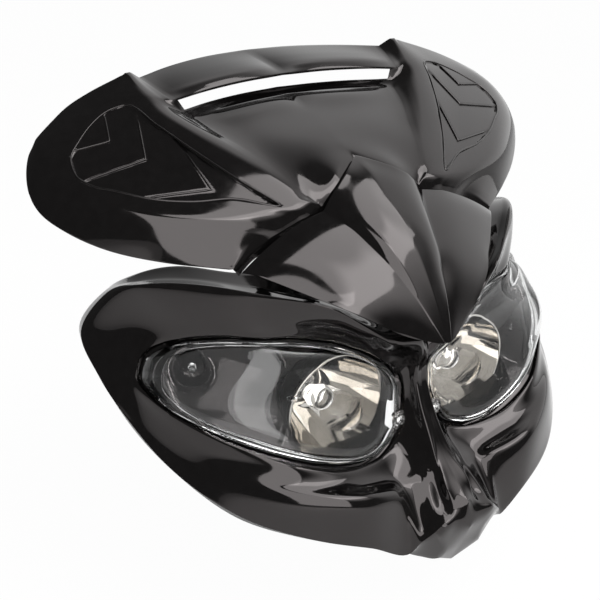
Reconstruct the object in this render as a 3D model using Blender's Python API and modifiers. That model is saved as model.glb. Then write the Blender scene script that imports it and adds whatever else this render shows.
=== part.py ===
"""Dual headlight fairing: cowl, brow, mask, two lamps and a rear bracket.

Control points are in millimetres from the chin tip, +X to the right, +Y to the back, +Z up.
The front faces -Y.  The row origin is the middle of the bracket's flat rear face.
"""
import math

import bpy
import bmesh
import numpy as np
from mathutils import Matrix, Vector

MM = 0.001
SHELL = 2.6
LENS_WALL = 2.0
HOUSING_WALL = 2.0
BRACKET_T = 3.0
BRACKET_BACK = (0.0, 170.0, 108.0)
REFLECTOR_CENTRE = (52.5, 57.0, 103.0)
REFLECTOR_R = 35.0
REFLECTOR_DEPTH = 38.0
NECK_R = 11.0
LAMP_CENTRE = (84.0, 52.0, 116.0)
DOME_WAY = (0.35, -0.85, 0.35)
DOME_H = 16.0
SCREW_AT = (14.6, 40.0, 90.6)

for thing in list(bpy.data.objects):
    bpy.data.objects.remove(thing, do_unlink=True)

scene = bpy.context.scene
group = bpy.data.collections.new("dual_headlight")
scene.collection.children.link(group)
tools = bpy.data.collections.new("cutters")
scene.collection.children.link(tools)
frame_empty = bpy.data.objects.new("fairing_frame", None)
group.objects.link(frame_empty)
frame_empty.location = tuple(-c * MM for c in BRACKET_BACK)


def material(name, colour, metallic=0.0, roughness=0.4, transmission=0.0):
    mat = bpy.data.materials.new(name)
    mat.use_nodes = True
    bsdf = mat.node_tree.nodes["Principled BSDF"]
    bsdf.inputs["Base Color"].default_value = (*colour, 1.0)
    bsdf.inputs["Metallic"].default_value = metallic
    bsdf.inputs["Roughness"].default_value = roughness
    bsdf.inputs["Transmission Weight"].default_value = transmission
    return mat


def place(obj, mat, home=group):
    home.objects.link(obj)
    obj.data.materials.clear()
    obj.data.materials.append(mat)
    obj.parent = frame_empty
    return obj


def refine(net, steps, closed=False):
    """Smooth curve through the rows of net, with the given steps in each span."""
    net = np.array(net, dtype=float)
    count = len(net)
    spans = count if closed else count - 1
    gaps = []
    for i in range(spans):
        delta = net[(i + 1) % count] - net[i]
        gaps.append(max(float(np.mean(np.linalg.norm(delta, axis=-1))), 0.01))
    slopes = [(net[(i + 1) % count] - net[i]) / gaps[i] for i in range(spans)]
    tangents = []
    for i in range(count):
        if closed or 0 < i < count - 1:
            a = gaps[(i - 1) % spans]
            b = gaps[i % spans]
            tangents.append((b * slopes[(i - 1) % spans] + a * slopes[i % spans]) / (a + b))
        else:
            tangents.append(slopes[0] if i == 0 else slopes[-1])
    if isinstance(steps, int):
        steps = [steps] * spans
    out = []
    for i in range(spans):
        p, q = net[i], net[(i + 1) % count]
        m0, m1 = tangents[i] * gaps[i], tangents[(i + 1) % count] * gaps[i]
        for j in range(steps[i]):
            t = j / steps[i]
            out.append((2 * t**3 - 3 * t**2 + 1) * p + (t**3 - 2 * t**2 + t) * m0
                       + (3 * t**2 - 2 * t**3) * q + (t**3 - t**2) * m1)
    if not closed:
        out.append(net[-1])
    return np.array(out)


def surface(name, net, closed=False, skip=None, flip=False):
    """Grid mesh over net[row][column], millimetres in, metres out."""
    rows, cols = net.shape[:2]
    mesh = bpy.data.meshes.new(name)
    bm = bmesh.new()
    verts = [[bm.verts.new(Vector(net[i][j]) * MM) for j in range(cols)] for i in range(rows)]
    last = rows if closed else rows - 1
    for i in range(last):
        for j in range(cols - 1):
            if skip and skip(i, j):
                continue
            quad = [verts[i][j], verts[i][j + 1], verts[(i + 1) % rows][j + 1], verts[(i + 1) % rows][j]]
            bm.faces.new(quad[::-1] if flip else quad)
    bmesh.ops.remove_doubles(bm, verts=bm.verts, dist=0.00002)
    bmesh.ops.dissolve_degenerate(bm, edges=bm.edges, dist=0.00001)
    bm.to_mesh(mesh)
    bm.free()
    return bpy.data.objects.new(name, mesh)


def mirror_and_thicken(obj, wall):
    mirror = obj.modifiers.new("mirror", "MIRROR")
    mirror.use_clip = True
    mirror.merge_threshold = 0.0001
    thicken(obj, wall)
    return obj


def thicken(obj, wall, offset=-1.0):
    solid = obj.modifiers.new("wall", "SOLIDIFY")
    solid.thickness = wall * MM
    solid.offset = offset
    solid.use_even_offset = False
    return obj


def turned(name, profile, mat, at, axis, steps=32):
    """Solid of revolution: (radius, height) pairs about a line through at, heights along axis."""
    mesh = bpy.data.meshes.new(name)
    area = 0.0
    for (r0, h0), (r1, h1) in zip(profile, profile[1:] + profile[:1]):
        area += r0 * h1 - r1 * h0
    if area > 0:
        profile = profile[::-1]
    points = [(r * MM, 0.0, h * MM) for r, h in profile]
    edges = [(i, i + 1) for i in range(len(points) - 1)]
    if profile[0][0] > 0.01 and profile[-1][0] > 0.01:
        edges.append((len(points) - 1, 0))
    mesh.from_pydata(points, edges, [])
    obj = bpy.data.objects.new(name, mesh)
    screw = obj.modifiers.new("turn", "SCREW")
    screw.steps = steps
    screw.render_steps = steps
    screw.use_merge_vertices = True
    screw.merge_threshold = 0.00001
    turn = Vector((0, 0, 1)).rotation_difference(Vector(axis).normalized())
    obj.rotation_mode = "QUATERNION"
    obj.rotation_quaternion = turn
    obj.location = Vector(at) * MM
    return place(obj, mat)


def cylinder(name, radius, start, end, axis_at, axis="Y", sides=24):
    """Round tool or boss from start to end along one axis, in millimetres."""
    bpy.ops.mesh.primitive_cylinder_add(vertices=sides, radius=radius * MM, depth=(end - start) * MM)
    obj = bpy.context.object
    obj.name = name
    middle = (start + end) / 2
    x, y, z = axis_at
    if axis == "Y":
        turn = Matrix.Rotation(math.radians(90), 4, "X")
        spot = (x, middle, z)
    else:
        turn = Matrix.Identity(4)
        spot = (x, y, middle)
    obj.data.transform(turn)
    obj.data.transform(Matrix.Translation(Vector(spot) * MM))
    obj.location = (0, 0, 0)
    return as_tool(obj)


def box(name, low, high):
    """Axis-aligned block between two corners, in millimetres, kept among the tools."""
    bpy.ops.mesh.primitive_cube_add(size=1.0)
    obj = bpy.context.object
    obj.name = name
    size = [(h - l) * MM for l, h in zip(low, high)]
    centre = [(h + l) / 2 * MM for l, h in zip(low, high)]
    obj.data.transform(Matrix.Diagonal((*size, 1.0)))
    obj.data.transform(Matrix.Translation(centre))
    obj.location = (0, 0, 0)
    return as_tool(obj)


def as_tool(obj):
    for holder in list(obj.users_collection):
        holder.objects.unlink(obj)
    tools.objects.link(obj)
    obj.parent = frame_empty
    obj.hide_render = True
    obj.display_type = "WIRE"
    return obj


def combine(obj, tool, operation):
    mod = obj.modifiers.new(operation.lower() + "_" + tool.name, "BOOLEAN")
    mod.object = tool
    mod.operation = operation
    mod.solver = "EXACT"
    return mod


def left_twin(name, obj):
    """A mirrored copy with its own mesh on the other side of the centre plane."""
    mesh = obj.data.copy()
    mesh.transform(Matrix.Scale(-1, 4, Vector((1, 0, 0))))
    mesh.flip_normals()
    twin = bpy.data.objects.new(name, mesh)
    wall = obj.modifiers["wall"]
    thicken(twin, wall.thickness / MM, wall.offset)
    group.objects.link(twin)
    twin.parent = frame_empty
    return twin


def turned_pair(name, profile, mat, at, axis, steps=32):
    """The same turned shape on both sides, each its own object."""
    for side, sign in (("right", 1), ("left", -1)):
        turned(f"{name}_{side}", profile, mat, (sign * at[0], at[1], at[2]),
               (sign * axis[0], axis[1], axis[2]), steps)


gloss_black = material("gloss_black_cowl", (0.012, 0.012, 0.014), 0.0, 0.12)
gloss_brow = material("gloss_black_brow", (0.012, 0.012, 0.013), 0.0, 0.12)
gloss_mask = material("gloss_black_mask", (0.014, 0.014, 0.015), 0.0, 0.14)
clear_lens = material("clear_lens", (0.95, 0.96, 0.97), 0.0, 0.03, 1.0)
black_housing = material("black_housing", (0.02, 0.02, 0.022), 0.0, 0.45)
chrome_bowl = material("chrome_bowl", (0.86, 0.86, 0.87), 1.0, 0.06)
bulb_glass = material("bulb_glass", (0.9, 0.92, 0.95), 0.0, 0.02, 1.0)
bulb_metal = material("bulb_metal", (0.62, 0.62, 0.64), 1.0, 0.3)
black_rubber = material("black_rubber", (0.02, 0.02, 0.02), 0.0, 0.8)
zinc_screw = material("zinc_screw", (0.6, 0.61, 0.63), 1.0, 0.28)
bracket_paint = material("bracket_paint", (0.02, 0.02, 0.022), 0.2, 0.45)

# Top cowl
# Wing face: height at (x, y), with the slopes and the swell of the panel that carries the chevrons
WING_REF = (122.0, 190.0, 280.0)
WING_DX = -0.279
WING_DY = 0.737
WING_TIP_Y = 98.0
WING_SWELL = 3.4
ROLL = (0.0, 0.0, 0.0, 0.05, 0.28, 0.64, 1.0)
ROLL_AT = (0.0, 0.28, 0.56, 0.78, 0.91, 0.975, 1.0)


def wing_z(x, y):
    share = min(max((y - WING_TIP_Y) / (WING_REF[1] - WING_TIP_Y), 0.0), 1.0)
    swell = WING_SWELL * 4.0 * share * (1.0 - share)
    return WING_REF[2] + WING_DX * (x - WING_REF[0]) + WING_DY * (y - WING_REF[1]) + swell


def wing_row(inner, rim):
    """Points from the panel's inner line to the rim: flat, then rolled down to the rim height."""
    drop = wing_z(rim[0], rim[1]) - rim[2]
    row = []
    for share, roll in zip(ROLL_AT, ROLL):
        x = inner[0] + share * (rim[0] - inner[0])
        y = inner[1] + share * (rim[1] - inner[1])
        row.append((x, y, wing_z(x, y) - roll * drop))
    return row


def field_row(centre, base, rise=0.0):
    """Centre point, two points across the middle field and the foot of the ridge."""
    row = [centre]
    for share in (0.35, 0.7):
        x = share * base[0]
        y = centre[1] + share**2 * (base[1] - centre[1])
        z = centre[2] + share**2 * (base[2] - centre[2]) + rise * share * (1 - share) * 4
        row.append((x, y, z))
    row.append(base)
    return row


cowl_rows = [
    field_row((0, 245, 293), (99, 216, 290)) + [(107, 213, 295), (112, 212.5, 294),
     (118, 212.5, 292), (136, 212, 286), (154, 209, 279), (168, 203, 272), (176, 199.5, 267.5),
     (180, 197.5, 265), (182, 196, 263)],
    field_row((0, 195, 285), (91, 186, 280)) + [(95, 188, 284), (106, 189, 284)]
    + wing_row((119, 190), (190, 189, 254)),
    field_row((0, 203, 271), (86, 183, 272)) + [(92, 183, 280), (103, 184, 281)]
    + wing_row((117, 184), (193, 184, 249)),
    field_row((0, 188, 272), (81, 176, 268)) + [(89, 177, 277), (101, 178, 278)]
    + wing_row((114, 177), (195, 179, 243)),
    field_row((0, 170, 267), (76, 161, 263)) + [(83, 162, 270), (94, 160, 268)]
    + wing_row((104, 156), (195, 168, 232)),
    field_row((0, 152, 261), (65, 139, 254)) + [(70, 140, 258), (80, 134, 254)]
    + wing_row((89, 129), (185, 153, 220)),
    field_row((0, 136, 255), (55, 117, 243)) + [(57, 118, 244.5), (66, 113, 241)]
    + wing_row((75, 108), (163, 133, 208)),
    field_row((0, 122, 249), (46, 101, 232)) + [(48, 102, 233), (55, 100, 232)]
    + wing_row((63, 99), (136, 114, 201)),
    [(0, 113.8, 244), (12.5, 105.2, 239.6), (24.5, 97.8, 234.2), (38, 94.1, 223.5), (40, 94.1, 224),
     (43, 94.2, 225), (50.5, 92.4, 223.7), (59.1, 92.3, 221), (66.8, 92.9, 218.2), (74.2, 94, 215.2),
     (84.2, 96.2, 210.7), (94, 95.8, 205.3), (104.1, 92.8, 197.3)],
    [(0, 107, 237.5), (12, 99.5, 232.5), (23, 95, 226.5), (36, 92.8, 214), (37.5, 92.8, 214.3),
     (40, 92.8, 214.8), (47, 92, 215.4), (55.5, 91.9, 213), (63.3, 92, 210.2), (70.7, 92.6, 207.2),
     (80.7, 94, 203), (90.5, 94.3, 198.5), (100.6, 91.9, 192.6)],
]
cowl_net = refine(np.array(cowl_rows[:-1]), [3, 1, 1, 2, 2, 2, 2, 3])
cowl_net = np.concatenate([cowl_net, [cowl_rows[-1]]])
cowl_net = np.swapaxes(refine(np.swapaxes(cowl_net, 0, 1), [2, 2, 2, 1, 1, 1, 2, 2, 2, 1, 1, 1]), 0, 1)
SLOT_ROW = 3
SLOT_COLS = 6
top_cowl = surface("top_cowl", cowl_net, skip=lambda i, j: i == SLOT_ROW and j < SLOT_COLS, flip=True)
mirror_and_thicken(top_cowl, SHELL)
place(top_cowl, gloss_black)

# Recessed wing panels: depth below the wing face, then the inner, vertex and outer points of each row
TOOL_RISE = 8.0
panel_rows = [
    (2.0, (68.5, 102), (70, 101.7), (73, 103.8)),
    (2.0, (86, 126), (84.5, 111.5), (104, 118.5)),
    (2.0, (103, 150), (100, 123), (136, 133.5)),
    (1.3, (103.6, 151.5), (101, 124.5), (136.6, 135)),
    (1.3, (112, 166), (114, 138), (151, 144)),
    (1.3, (119.5, 180), (128, 154), (166.5, 157.5)),
    (0.6, (120, 181.5), (129, 155.5), (167, 159)),
    (0.6, (123.5, 189.5), (135.5, 163.5), (169.5, 168)),
    (0.6, (137, 190), (142.5, 173), (166, 177.5)),
]


def panel_tool(name, sign):
    """Closed block whose stepped underside is the floor of one wing panel."""
    mesh = bpy.data.meshes.new(name)
    bm = bmesh.new()
    floors = []
    roofs = []
    for depth, *spots in panel_rows:
        floors.append([bm.verts.new(Vector((sign * x, y, wing_z(x, y) - depth)) * MM) for x, y in spots])
        roofs.append([bm.verts.new(Vector((sign * x, y, wing_z(x, y) + TOOL_RISE)) * MM) for x, y in spots])
    for i in range(len(panel_rows) - 1):
        for j in (0, 1):
            bm.faces.new((floors[i][j], floors[i][j + 1], floors[i + 1][j + 1], floors[i + 1][j]))
            bm.faces.new((roofs[i][j], roofs[i][j + 1], roofs[i + 1][j + 1], roofs[i + 1][j]))
        for j in (0, 2):
            bm.faces.new((floors[i][j], roofs[i][j], roofs[i + 1][j], floors[i + 1][j]))
    for i in (0, -1):
        for j in (0, 1):
            bm.faces.new((floors[i][j], floors[i][j + 1], roofs[i][j + 1], roofs[i][j]))
    bmesh.ops.recalc_face_normals(bm, faces=bm.faces)
    bm.to_mesh(mesh)
    bm.free()
    return as_tool(bpy.data.objects.new(name, mesh))


for side, sign in (("right", 1), ("left", -1)):
    combine(top_cowl, panel_tool(f"panel_{side}", sign), "DIFFERENCE")

# Brow cover
STRIP_AT = (0.36, 0.7, 0.88)
PANEL_AT = (0.27, 0.5, 0.73, 0.88)


def brow_row(centre, edge, low, lean, swell):
    """Centre, middle strip out to its edge, then the swelling side panel down to the lower edge."""
    row = [centre]
    for share in STRIP_AT:
        back = 1.0 - (1.0 - share)**1.6
        down = lean * share + (1.0 - lean) * share**4
        row.append((share * edge[0], centre[1] + back * (edge[1] - centre[1]),
                    centre[2] + down * (edge[2] - centre[2])))
    row.append(edge)
    for share in PANEL_AT:
        x, y, z = (a + share * (b - a) for a, b in zip(edge, low))
        row.append((x, y, z + 4.0 * swell * share * (1.0 - share)))
    row.append(low)
    return row


brow_rows = [
    brow_row((0, 111.3, 246.7), (39, 91, 223), (101, 88.3, 195.8), 0.55, 4.0),
    brow_row((0, 95, 240), (35, 83, 219.3), (96, 82.5, 195.3), 0.6, 3.9),
    brow_row((0, 80, 230), (30, 74.1, 214.8), (88.7, 74.7, 192.3), 0.45, 3.6),
    brow_row((0, 64, 218), (25.5, 63, 207.5), (79.2, 65, 187.8), 0.2, 3.2),
    brow_row((0, 50, 205), (20, 50, 197.6), (70.1, 55.9, 183.4), 0.15, 2.6),
    brow_row((0, 39, 192), (15, 40, 187), (57, 42.5, 177.3), 0.25, 2.0),
    brow_row((0, 29, 178), (10.5, 30, 175.8), (41, 31.5, 168), 0.35, 1.4),
    brow_row((0, 20, 163), (6.2, 20.8, 163), (24, 23.7, 158), 0.5, 0.7),
    brow_row((0, 13.5, 151.7), (2.5, 13.9, 151.9), (6.7, 15.3, 152.3), 0.5, 0.0),
]
brow_net = np.swapaxes(refine(np.array(brow_rows, dtype=float), 2), 0, 1)
STRIP_COLS = 2 + len(STRIP_AT)
brow_net = np.concatenate([refine(brow_net[:STRIP_COLS], [2, 1, 1, 1])[:-1],
                           refine(brow_net[STRIP_COLS - 1:], [1, 1, 1, 1, 2])])
brow_cover = surface("brow_cover", np.swapaxes(brow_net, 0, 1), flip=True)
mirror_and_thicken(brow_cover, SHELL)
place(brow_cover, gloss_brow)

# Mask shell
# Each station runs outwards from the lamp: lens edge, rim crest, outer lip, skirt, free edge
stations = [
    [(12.5, 44, 112), (4.2, 37, 122), (1.2, 37.2, 122), (0.6, 37.3, 122), (0, 37.4, 122)],
    [(14, 46.5, 118), (5, 31, 138), (1.2, 31.2, 138.6), (0.6, 31.3, 139), (0, 31.4, 139)],
    [(19, 47, 125), (10, 27, 149), (7, 31, 152.5), (3.5, 36, 155), (0, 40, 157)],
    [(27, 45, 131.5), (27, 30, 154), (24, 41, 160), (14, 60, 169), (0, 76, 176)],
    [(39, 49, 140), (45, 37.5, 166), (44, 48, 168), (41, 68, 174), (38, 90, 182)],
    [(56, 55, 148), (66, 43.5, 181), (66, 51, 178), (66, 66, 177.5), (62, 101, 184)],
    [(77, 64, 153), (94, 65, 187.4), (94, 73, 183.5), (92, 90, 183), (89, 112, 185)],
    [(102, 71, 157), (124, 92, 192), (123, 100, 189), (119, 122, 184), (114, 146, 184)],
    [(127, 95, 155), (147, 119, 188.5), (147, 127, 186), (143, 146, 180), (136, 166, 176)],
    [(143, 112, 149), (160, 142, 177), (161, 150, 176), (157, 165, 170), (149, 180, 164)],
    [(153, 117, 142), (174, 156, 148), (176, 162, 148), (172, 174, 146), (162, 187, 142)],
    [(158, 115, 130), (173, 132, 125), (176, 138, 126), (172, 152, 125), (162, 169, 122)],
    [(156, 98, 121), (164, 105, 101), (167, 108, 99), (165, 124, 97), (156, 143, 95)],
    [(141, 73, 110), (149, 73, 82), (153, 73, 76), (150, 88, 71), (142, 107, 69)],
    [(121, 54, 100), (127, 43, 74), (130, 41, 58), (128, 56, 50), (121, 79, 48)],
    [(97, 38, 90), (98, 18.5, 68.5), (98, 14, 46), (97, 30, 38), (92, 55, 37)],
    [(68, 31, 80), (66, 2.6, 64), (65, 0, 35), (64, 14, 28), (62, 42, 27)],
    [(46, 31, 76), (40, 5, 56), (38, -3, 25), (36, 8, 18), (34, 36, 17)],
    [(35, 33, 76), (29, 7.5, 54.5), (29, -9.5, 35.5), (17, -7, 12), (0, 30, 8)],
    [(28, 35.5, 77.5), (21, 6.5, 57.5), (24, -13, 40.2), (9, -11, 20), (0, -1, 1)],
    [(24, 37, 79), (17, 6.2, 59.5), (19, -13.4, 44.8), (9, -15.8, 40), (0, -17, 36)],
    [(21, 38, 81.5), (13, 6, 62), (11.5, -8, 48.4), (6, -12.5, 50), (0, -15.5, 51.5)],
    [(17.5, 38, 86), (9.6, 6, 64.5), (8.8, -0.5, 61), (4.5, -2.6, 60.2), (0, -3.4, 60)],
    [(15.5, 39, 90.5), (6.5, 13, 75), (2.0, 12.6, 75), (1.0, 12.6, 75), (0, 12.6, 75)],
    [(14, 41, 96), (5, 22, 88), (1.4, 22.6, 88), (0.7, 22.7, 88), (0, 22.8, 88)],
    [(12.3, 43.5, 105), (4.4, 32, 105), (1.2, 32.5, 105), (0.6, 32.6, 105), (0, 32.6, 105)],
]
base = np.array([s[0] for s in stations], dtype=float)
crest = np.array([s[1] for s in stations], dtype=float)
lamp_centre = np.array(LAMP_CENTRE)
SEAT_DEPTH = 3.4


def seat_terms(x, z):
    u = (x - LAMP_CENTRE[0]) / 60.0
    v = (z - LAMP_CENTRE[2]) / 40.0
    return np.stack([np.ones_like(u), u, u * u, u**3, v, u * v, v * v], axis=-1)


seat_fit = np.linalg.lstsq(seat_terms(base[:, 0], base[:, 2]), base[:, 1], rcond=None)[0]


def seat_y(x, z):
    """Depth of the smooth swept face that the lens edge lies on."""
    return seat_terms(np.asarray(x, dtype=float), np.asarray(z, dtype=float)) @ seat_fit


def seat_normal(loop):
    """Unit vectors square to the swept face, pointing to the front."""
    step = 0.5
    gx = (seat_y(loop[:, 0] + step, loop[:, 2]) - seat_y(loop[:, 0] - step, loop[:, 2])) / (2 * step)
    gz = (seat_y(loop[:, 0], loop[:, 2] + step) - seat_y(loop[:, 0], loop[:, 2] - step)) / (2 * step)
    normal = np.stack([gx, -np.ones_like(gx), gz], axis=1)
    return normal / np.linalg.norm(normal, axis=1)[:, None]


def inset(loop, amount, behind=0.0):
    """Move a loop towards the lamp centre along the swept face, then back along its normal."""
    away = loop - lamp_centre
    away[:, 1] = 0.0
    moved = loop - amount * away / np.linalg.norm(away, axis=1)[:, None]
    moved[:, 1] = loop[:, 1] + seat_y(moved[:, 0], moved[:, 2]) - seat_y(loop[:, 0], loop[:, 2])
    return moved - behind * seat_normal(moved)


opening = inset(base, 3.0, SEAT_DEPTH)
seat = inset(base, -1.2, SEAT_DEPTH)
wall_foot = inset(base, -2.4, 0.6)
bowl = wall_foot + 0.5 * (crest - wall_foot)
for i in range(len(bowl)):
    if i in range(4, 9):
        hollow = -3.0
    elif i < 2 or i > 22:
        hollow = 1.0
    else:
        hollow = 3.0
    bowl[i] += np.array((0, hollow, 0))
rings = [wall_foot, bowl, crest]
for k in (2, 3, 4):
    rings.append(np.array([s[k] for s in stations], dtype=float))
outside = refine(np.array(rings), [2, 1, 1, 1, 1])
mask_net = np.swapaxes(np.concatenate([[opening], [seat], outside]), 0, 1)
mask_net = refine(mask_net, 2, closed=True)
mask_net[:, :, 0] = np.maximum(mask_net[:, :, 0], 0.0)
mask_net[:, -1, 0] = np.where(mask_net[:, -1, 0] < 1.5, 0.0, mask_net[:, -1, 0])
for k, least in ((-2, 0.5), (-3, 1.0), (-4, 3.4)):
    mask_net[:, k, 0] = np.maximum(mask_net[:, k, 0], least)
mask_shell = surface("mask_shell", mask_net, closed=True, flip=True)
mirror_and_thicken(mask_shell, SHELL)
place(mask_shell, gloss_mask)


def ring_surface(name, loops, steps, around, mat, wall, flip=False):
    """Shell through closed loops round the lamp."""
    net = np.swapaxes(np.array(loops, dtype=float), 0, 1)
    net = refine(net, around, closed=True)
    net = np.swapaxes(refine(np.swapaxes(net, 0, 1), steps), 0, 1)
    obj = surface(name, net, closed=True, flip=flip)
    thicken(obj, wall)
    return place(obj, mat)


# Lenses: a flange on the seat and a dome over the swept face
lens_edge = inset(base, 0.6)
root_width = 3.4 + 5.0 * np.clip((base[:, :1] - 100.0) / 58.0, 0.0, 1.0)
lens_root = inset(base, root_width)
root_miss = lens_root[:, 1] - seat_y(lens_root[:, 0], lens_root[:, 2])
dome_way = np.array(DOME_WAY) / np.linalg.norm(DOME_WAY)
lens_loops = [lens_edge, lens_root]
for share in (0.96, 0.8, 0.45, 0.0):
    flat = lamp_centre + share * (lens_root - lamp_centre)
    flat[:, 1] = seat_y(flat[:, 0], flat[:, 2]) + share * root_miss
    lens_loops.append(flat + dome_way * DOME_H * math.sqrt(1.0 - share**2))
lens_right = ring_surface("lens_right", lens_loops, 1, 2, clear_lens, LENS_WALL, flip=True)
left_twin("lens_left", lens_right)

# Lens gaskets lie between the lens flange and the seat
gasket_right = ring_surface("lens_gasket_right", [inset(base, 0.8, 2.3), inset(base, 2.7, 2.3)], 1, 2,
                            black_rubber, 0.7, flip=True)
left_twin("lens_gasket_left", gasket_right)

# Lamp housings behind the openings
HOUSING_BACK = 114.0
CLEAR_R = REFLECTOR_R + 9.5


def clear_of_bowl(loop, radius):
    """Push a loop out to a radius about the main lamp axis wherever it lies inside it."""
    out = loop.copy()
    for point in out:
        dx = point[0] - REFLECTOR_CENTRE[0]
        dz = point[2] - REFLECTOR_CENTRE[2]
        reach = math.hypot(dx, dz)
        if reach < radius:
            point[0] = REFLECTOR_CENTRE[0] + dx * radius / reach
            point[2] = REFLECTOR_CENTRE[2] + dz * radius / reach
    return out


front = inset(base, 3.2, 7.6)
middle = clear_of_bowl(inset(base, 5.0), CLEAR_R)
middle[:, 1] = np.maximum(51.0, base[:, 1] + 21.0)
rear = clear_of_bowl(inset(base, 13.0), CLEAR_R - 4.0)
rear[:, 1] = np.maximum(HOUSING_BACK - 20.0, base[:, 1] + 46.0)
angle = np.arctan2(base[:, 2] - REFLECTOR_CENTRE[2], base[:, 0] - REFLECTOR_CENTRE[0])
spokes = np.stack([np.cos(angle), np.zeros(len(base)), np.sin(angle)], axis=1)
axis_end = np.array((REFLECTOR_CENTRE[0], HOUSING_BACK, REFLECTOR_CENTRE[2]))
hole = axis_end + 18.0 * spokes
pad = axis_end + 29.0 * spokes
for loop in (middle, rear):
    loop[:, 0] = np.maximum(loop[:, 0], 12.8)
half_way = 0.5 * (rear + pad)
half_way[:, 1] = HOUSING_BACK + 0.7 * np.maximum(rear[:, 1] - HOUSING_BACK, 0.0)
housing_right = ring_surface("lamp_housing_right", [front, middle, rear, half_way, pad, hole], 1, 1,
                             black_housing, HOUSING_WALL, flip=True)
left_twin("lamp_housing_left", housing_right)

# Reflectors, bulbs and boots share the main lamp axis
rx, ry, rz = REFLECTOR_CENTRE
BACK = (0, 1, 0)
bowl_profile = []
for i in range(7):
    depth = REFLECTOR_DEPTH * i / 6
    radius = NECK_R + (REFLECTOR_R - NECK_R) * math.sqrt(1.0 - depth / REFLECTOR_DEPTH)
    bowl_profile.append((radius, depth))
outer = [(r + 1.6, d + 0.6) for r, d in reversed(bowl_profile)]
rim = [(REFLECTOR_R + 1.6, -0.6), (REFLECTOR_R, -0.6)]
turned_pair("reflector", bowl_profile + outer + rim, chrome_bowl, REFLECTOR_CENTRE, BACK, 22)

bulb_profile = [(0, 8.5), (4.0, 9.4), (7.2, 11.9), (9.1, 15.3), (9.5, 18), (9.0, 22), (6.8, 28), (5.6, 32),
                (5.6, 37), (0, 37)]
turned_pair("bulb", bulb_profile, bulb_glass, REFLECTOR_CENTRE, BACK, 18)

cap_profile = [(0, 37.4), (7.5, 37.4), (7.5, 39.2), (19.5, 39.2), (19.5, 40.8), (9.5, 40.8), (9.5, 52),
               (8.0, 53.5), (0, 53.5)]
turned_pair("bulb_cap", cap_profile, bulb_metal, REFLECTOR_CENTRE, BACK, 24)

boot_profile = [(10.0, 57.2), (10.0, 66), (11.2, 68), (13.4, 68), (13.4, 66.5), (19, 62), (24, 61), (27, 60),
                (27, 57.2)]
turned_pair("rubber_boot", boot_profile, black_rubber, REFLECTOR_CENTRE, BACK, 22)

# Lens screws with washers at the inner lower corner, in a round cup moulded on the mask
CUP_R = 8.6
CUP_BORE = 6.8
CUP_FLOOR = 41.0
sx, sy, sz = SCREW_AT
FRONT = (0, -1, 0)
turned_pair("lens_washer", [(2.2, 0.2), (2.2, 1.2), (6.2, 1.2), (6.2, 0.2)], zinc_screw,
            (sx, CUP_FLOOR, sz), FRONT, 24)
screw_profile = [(0, 3.9), (2.4, 3.7), (3.5, 2.9), (3.8, 1.5), (1.6, 1.5), (1.6, -7), (0, -7)]
turned_pair("lens_screw", screw_profile, zinc_screw, (sx, CUP_FLOOR, sz), FRONT, 20)
for side, sign in (("right", 1), ("left", -1)):
    spot = (sign * sx, 0, sz)
    combine(mask_shell, cylinder(f"cup_{side}", CUP_R, 36.5, 46.5, spot), "UNION")
    combine(mask_shell, cylinder(f"cup_bore_{side}", CUP_BORE, 20.0, CUP_FLOOR, spot), "DIFFERENCE")
    combine(mask_shell, cylinder(f"screw_bore_{side}", 2.0, 30.0, 60.0, spot, sides=16), "DIFFERENCE")
    room = cylinder(f"cup_room_{side}", CUP_R + 0.35, 15.0, 70.0, spot, sides=32)
    for name in ("lens", "lens_gasket", "lamp_housing"):
        combine(bpy.data.objects[f"{name}_{side}"], room, "DIFFERENCE")

# Position lamps at the outer ends
LAMP_AT = (129.0, 104.0, 132.0)
LAMP_AXIS = (0.45, -0.85, 0.25)
cup_profile = [(11.5, 0), (10.2, -6), (7.2, -11), (3.0, -12.8), (3.0, -14.2), (8.2, -12.4), (11.6, -7),
               (13.0, 0)]
turned_pair("position_cup", cup_profile, black_housing, LAMP_AT, LAMP_AXIS, 20)
glow_profile = [(0, 0), (2.0, -0.6), (2.6, -2.4), (2.6, -12.2), (0, -12.2)]
turned_pair("position_bulb", glow_profile, bulb_glass, LAMP_AT, LAMP_AXIS, 16)
socket_profile = [(0, -12.6), (2.5, -12.6), (2.5, -14.8), (5.5, -14.8), (5.5, -20), (0, -20)]
turned_pair("position_socket", socket_profile, black_rubber, LAMP_AT, LAMP_AXIS, 18)

# Rear bracket: one bent steel plate
T = BRACKET_T
YB = BRACKET_BACK[1]
bpy.ops.mesh.primitive_cube_add(size=1.0)
bracket = bpy.context.object
bracket.name = "mounting_bracket"
bracket.data.transform(Matrix.Diagonal((60 * MM, T * MM, 142 * MM, 1.0)))
bracket.data.transform(Matrix.Translation(Vector((0, YB - T / 2, 157)) * MM))
for holder in list(bracket.users_collection):
    holder.objects.unlink(bracket)
place(bracket, bracket_paint)
combine(bracket, box("ears", (-78, YB - T, 92), (78, YB, 124)), "UNION")
combine(bracket, box("top_leg", (-38, 126, 225), (38, YB - 1, 228)), "UNION")
combine(bracket, box("middle_leg", (-36, 72, 168), (36, YB - 1, 171)), "UNION")
combine(bracket, box("nose_leg", (-7.5, 49, 104), (7.5, YB - 1, 107)), "UNION")
combine(bracket, box("nose_foot", (-7.5, 48.4, 86), (7.5, 51.3, 107)), "UNION")
combine(bracket, box("window", (-18, YB - 12, 182), (18, YB + 8, 214)), "DIFFERENCE")
for sign, side in ((1, "right"), (-1, "left")):
    slot = box(f"ear_slot_{side}", (sign * 58 - 9, YB - 12, 103.5), (sign * 58 + 9, YB + 8, 112.5))
    combine(bracket, slot, "DIFFERENCE")

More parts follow.
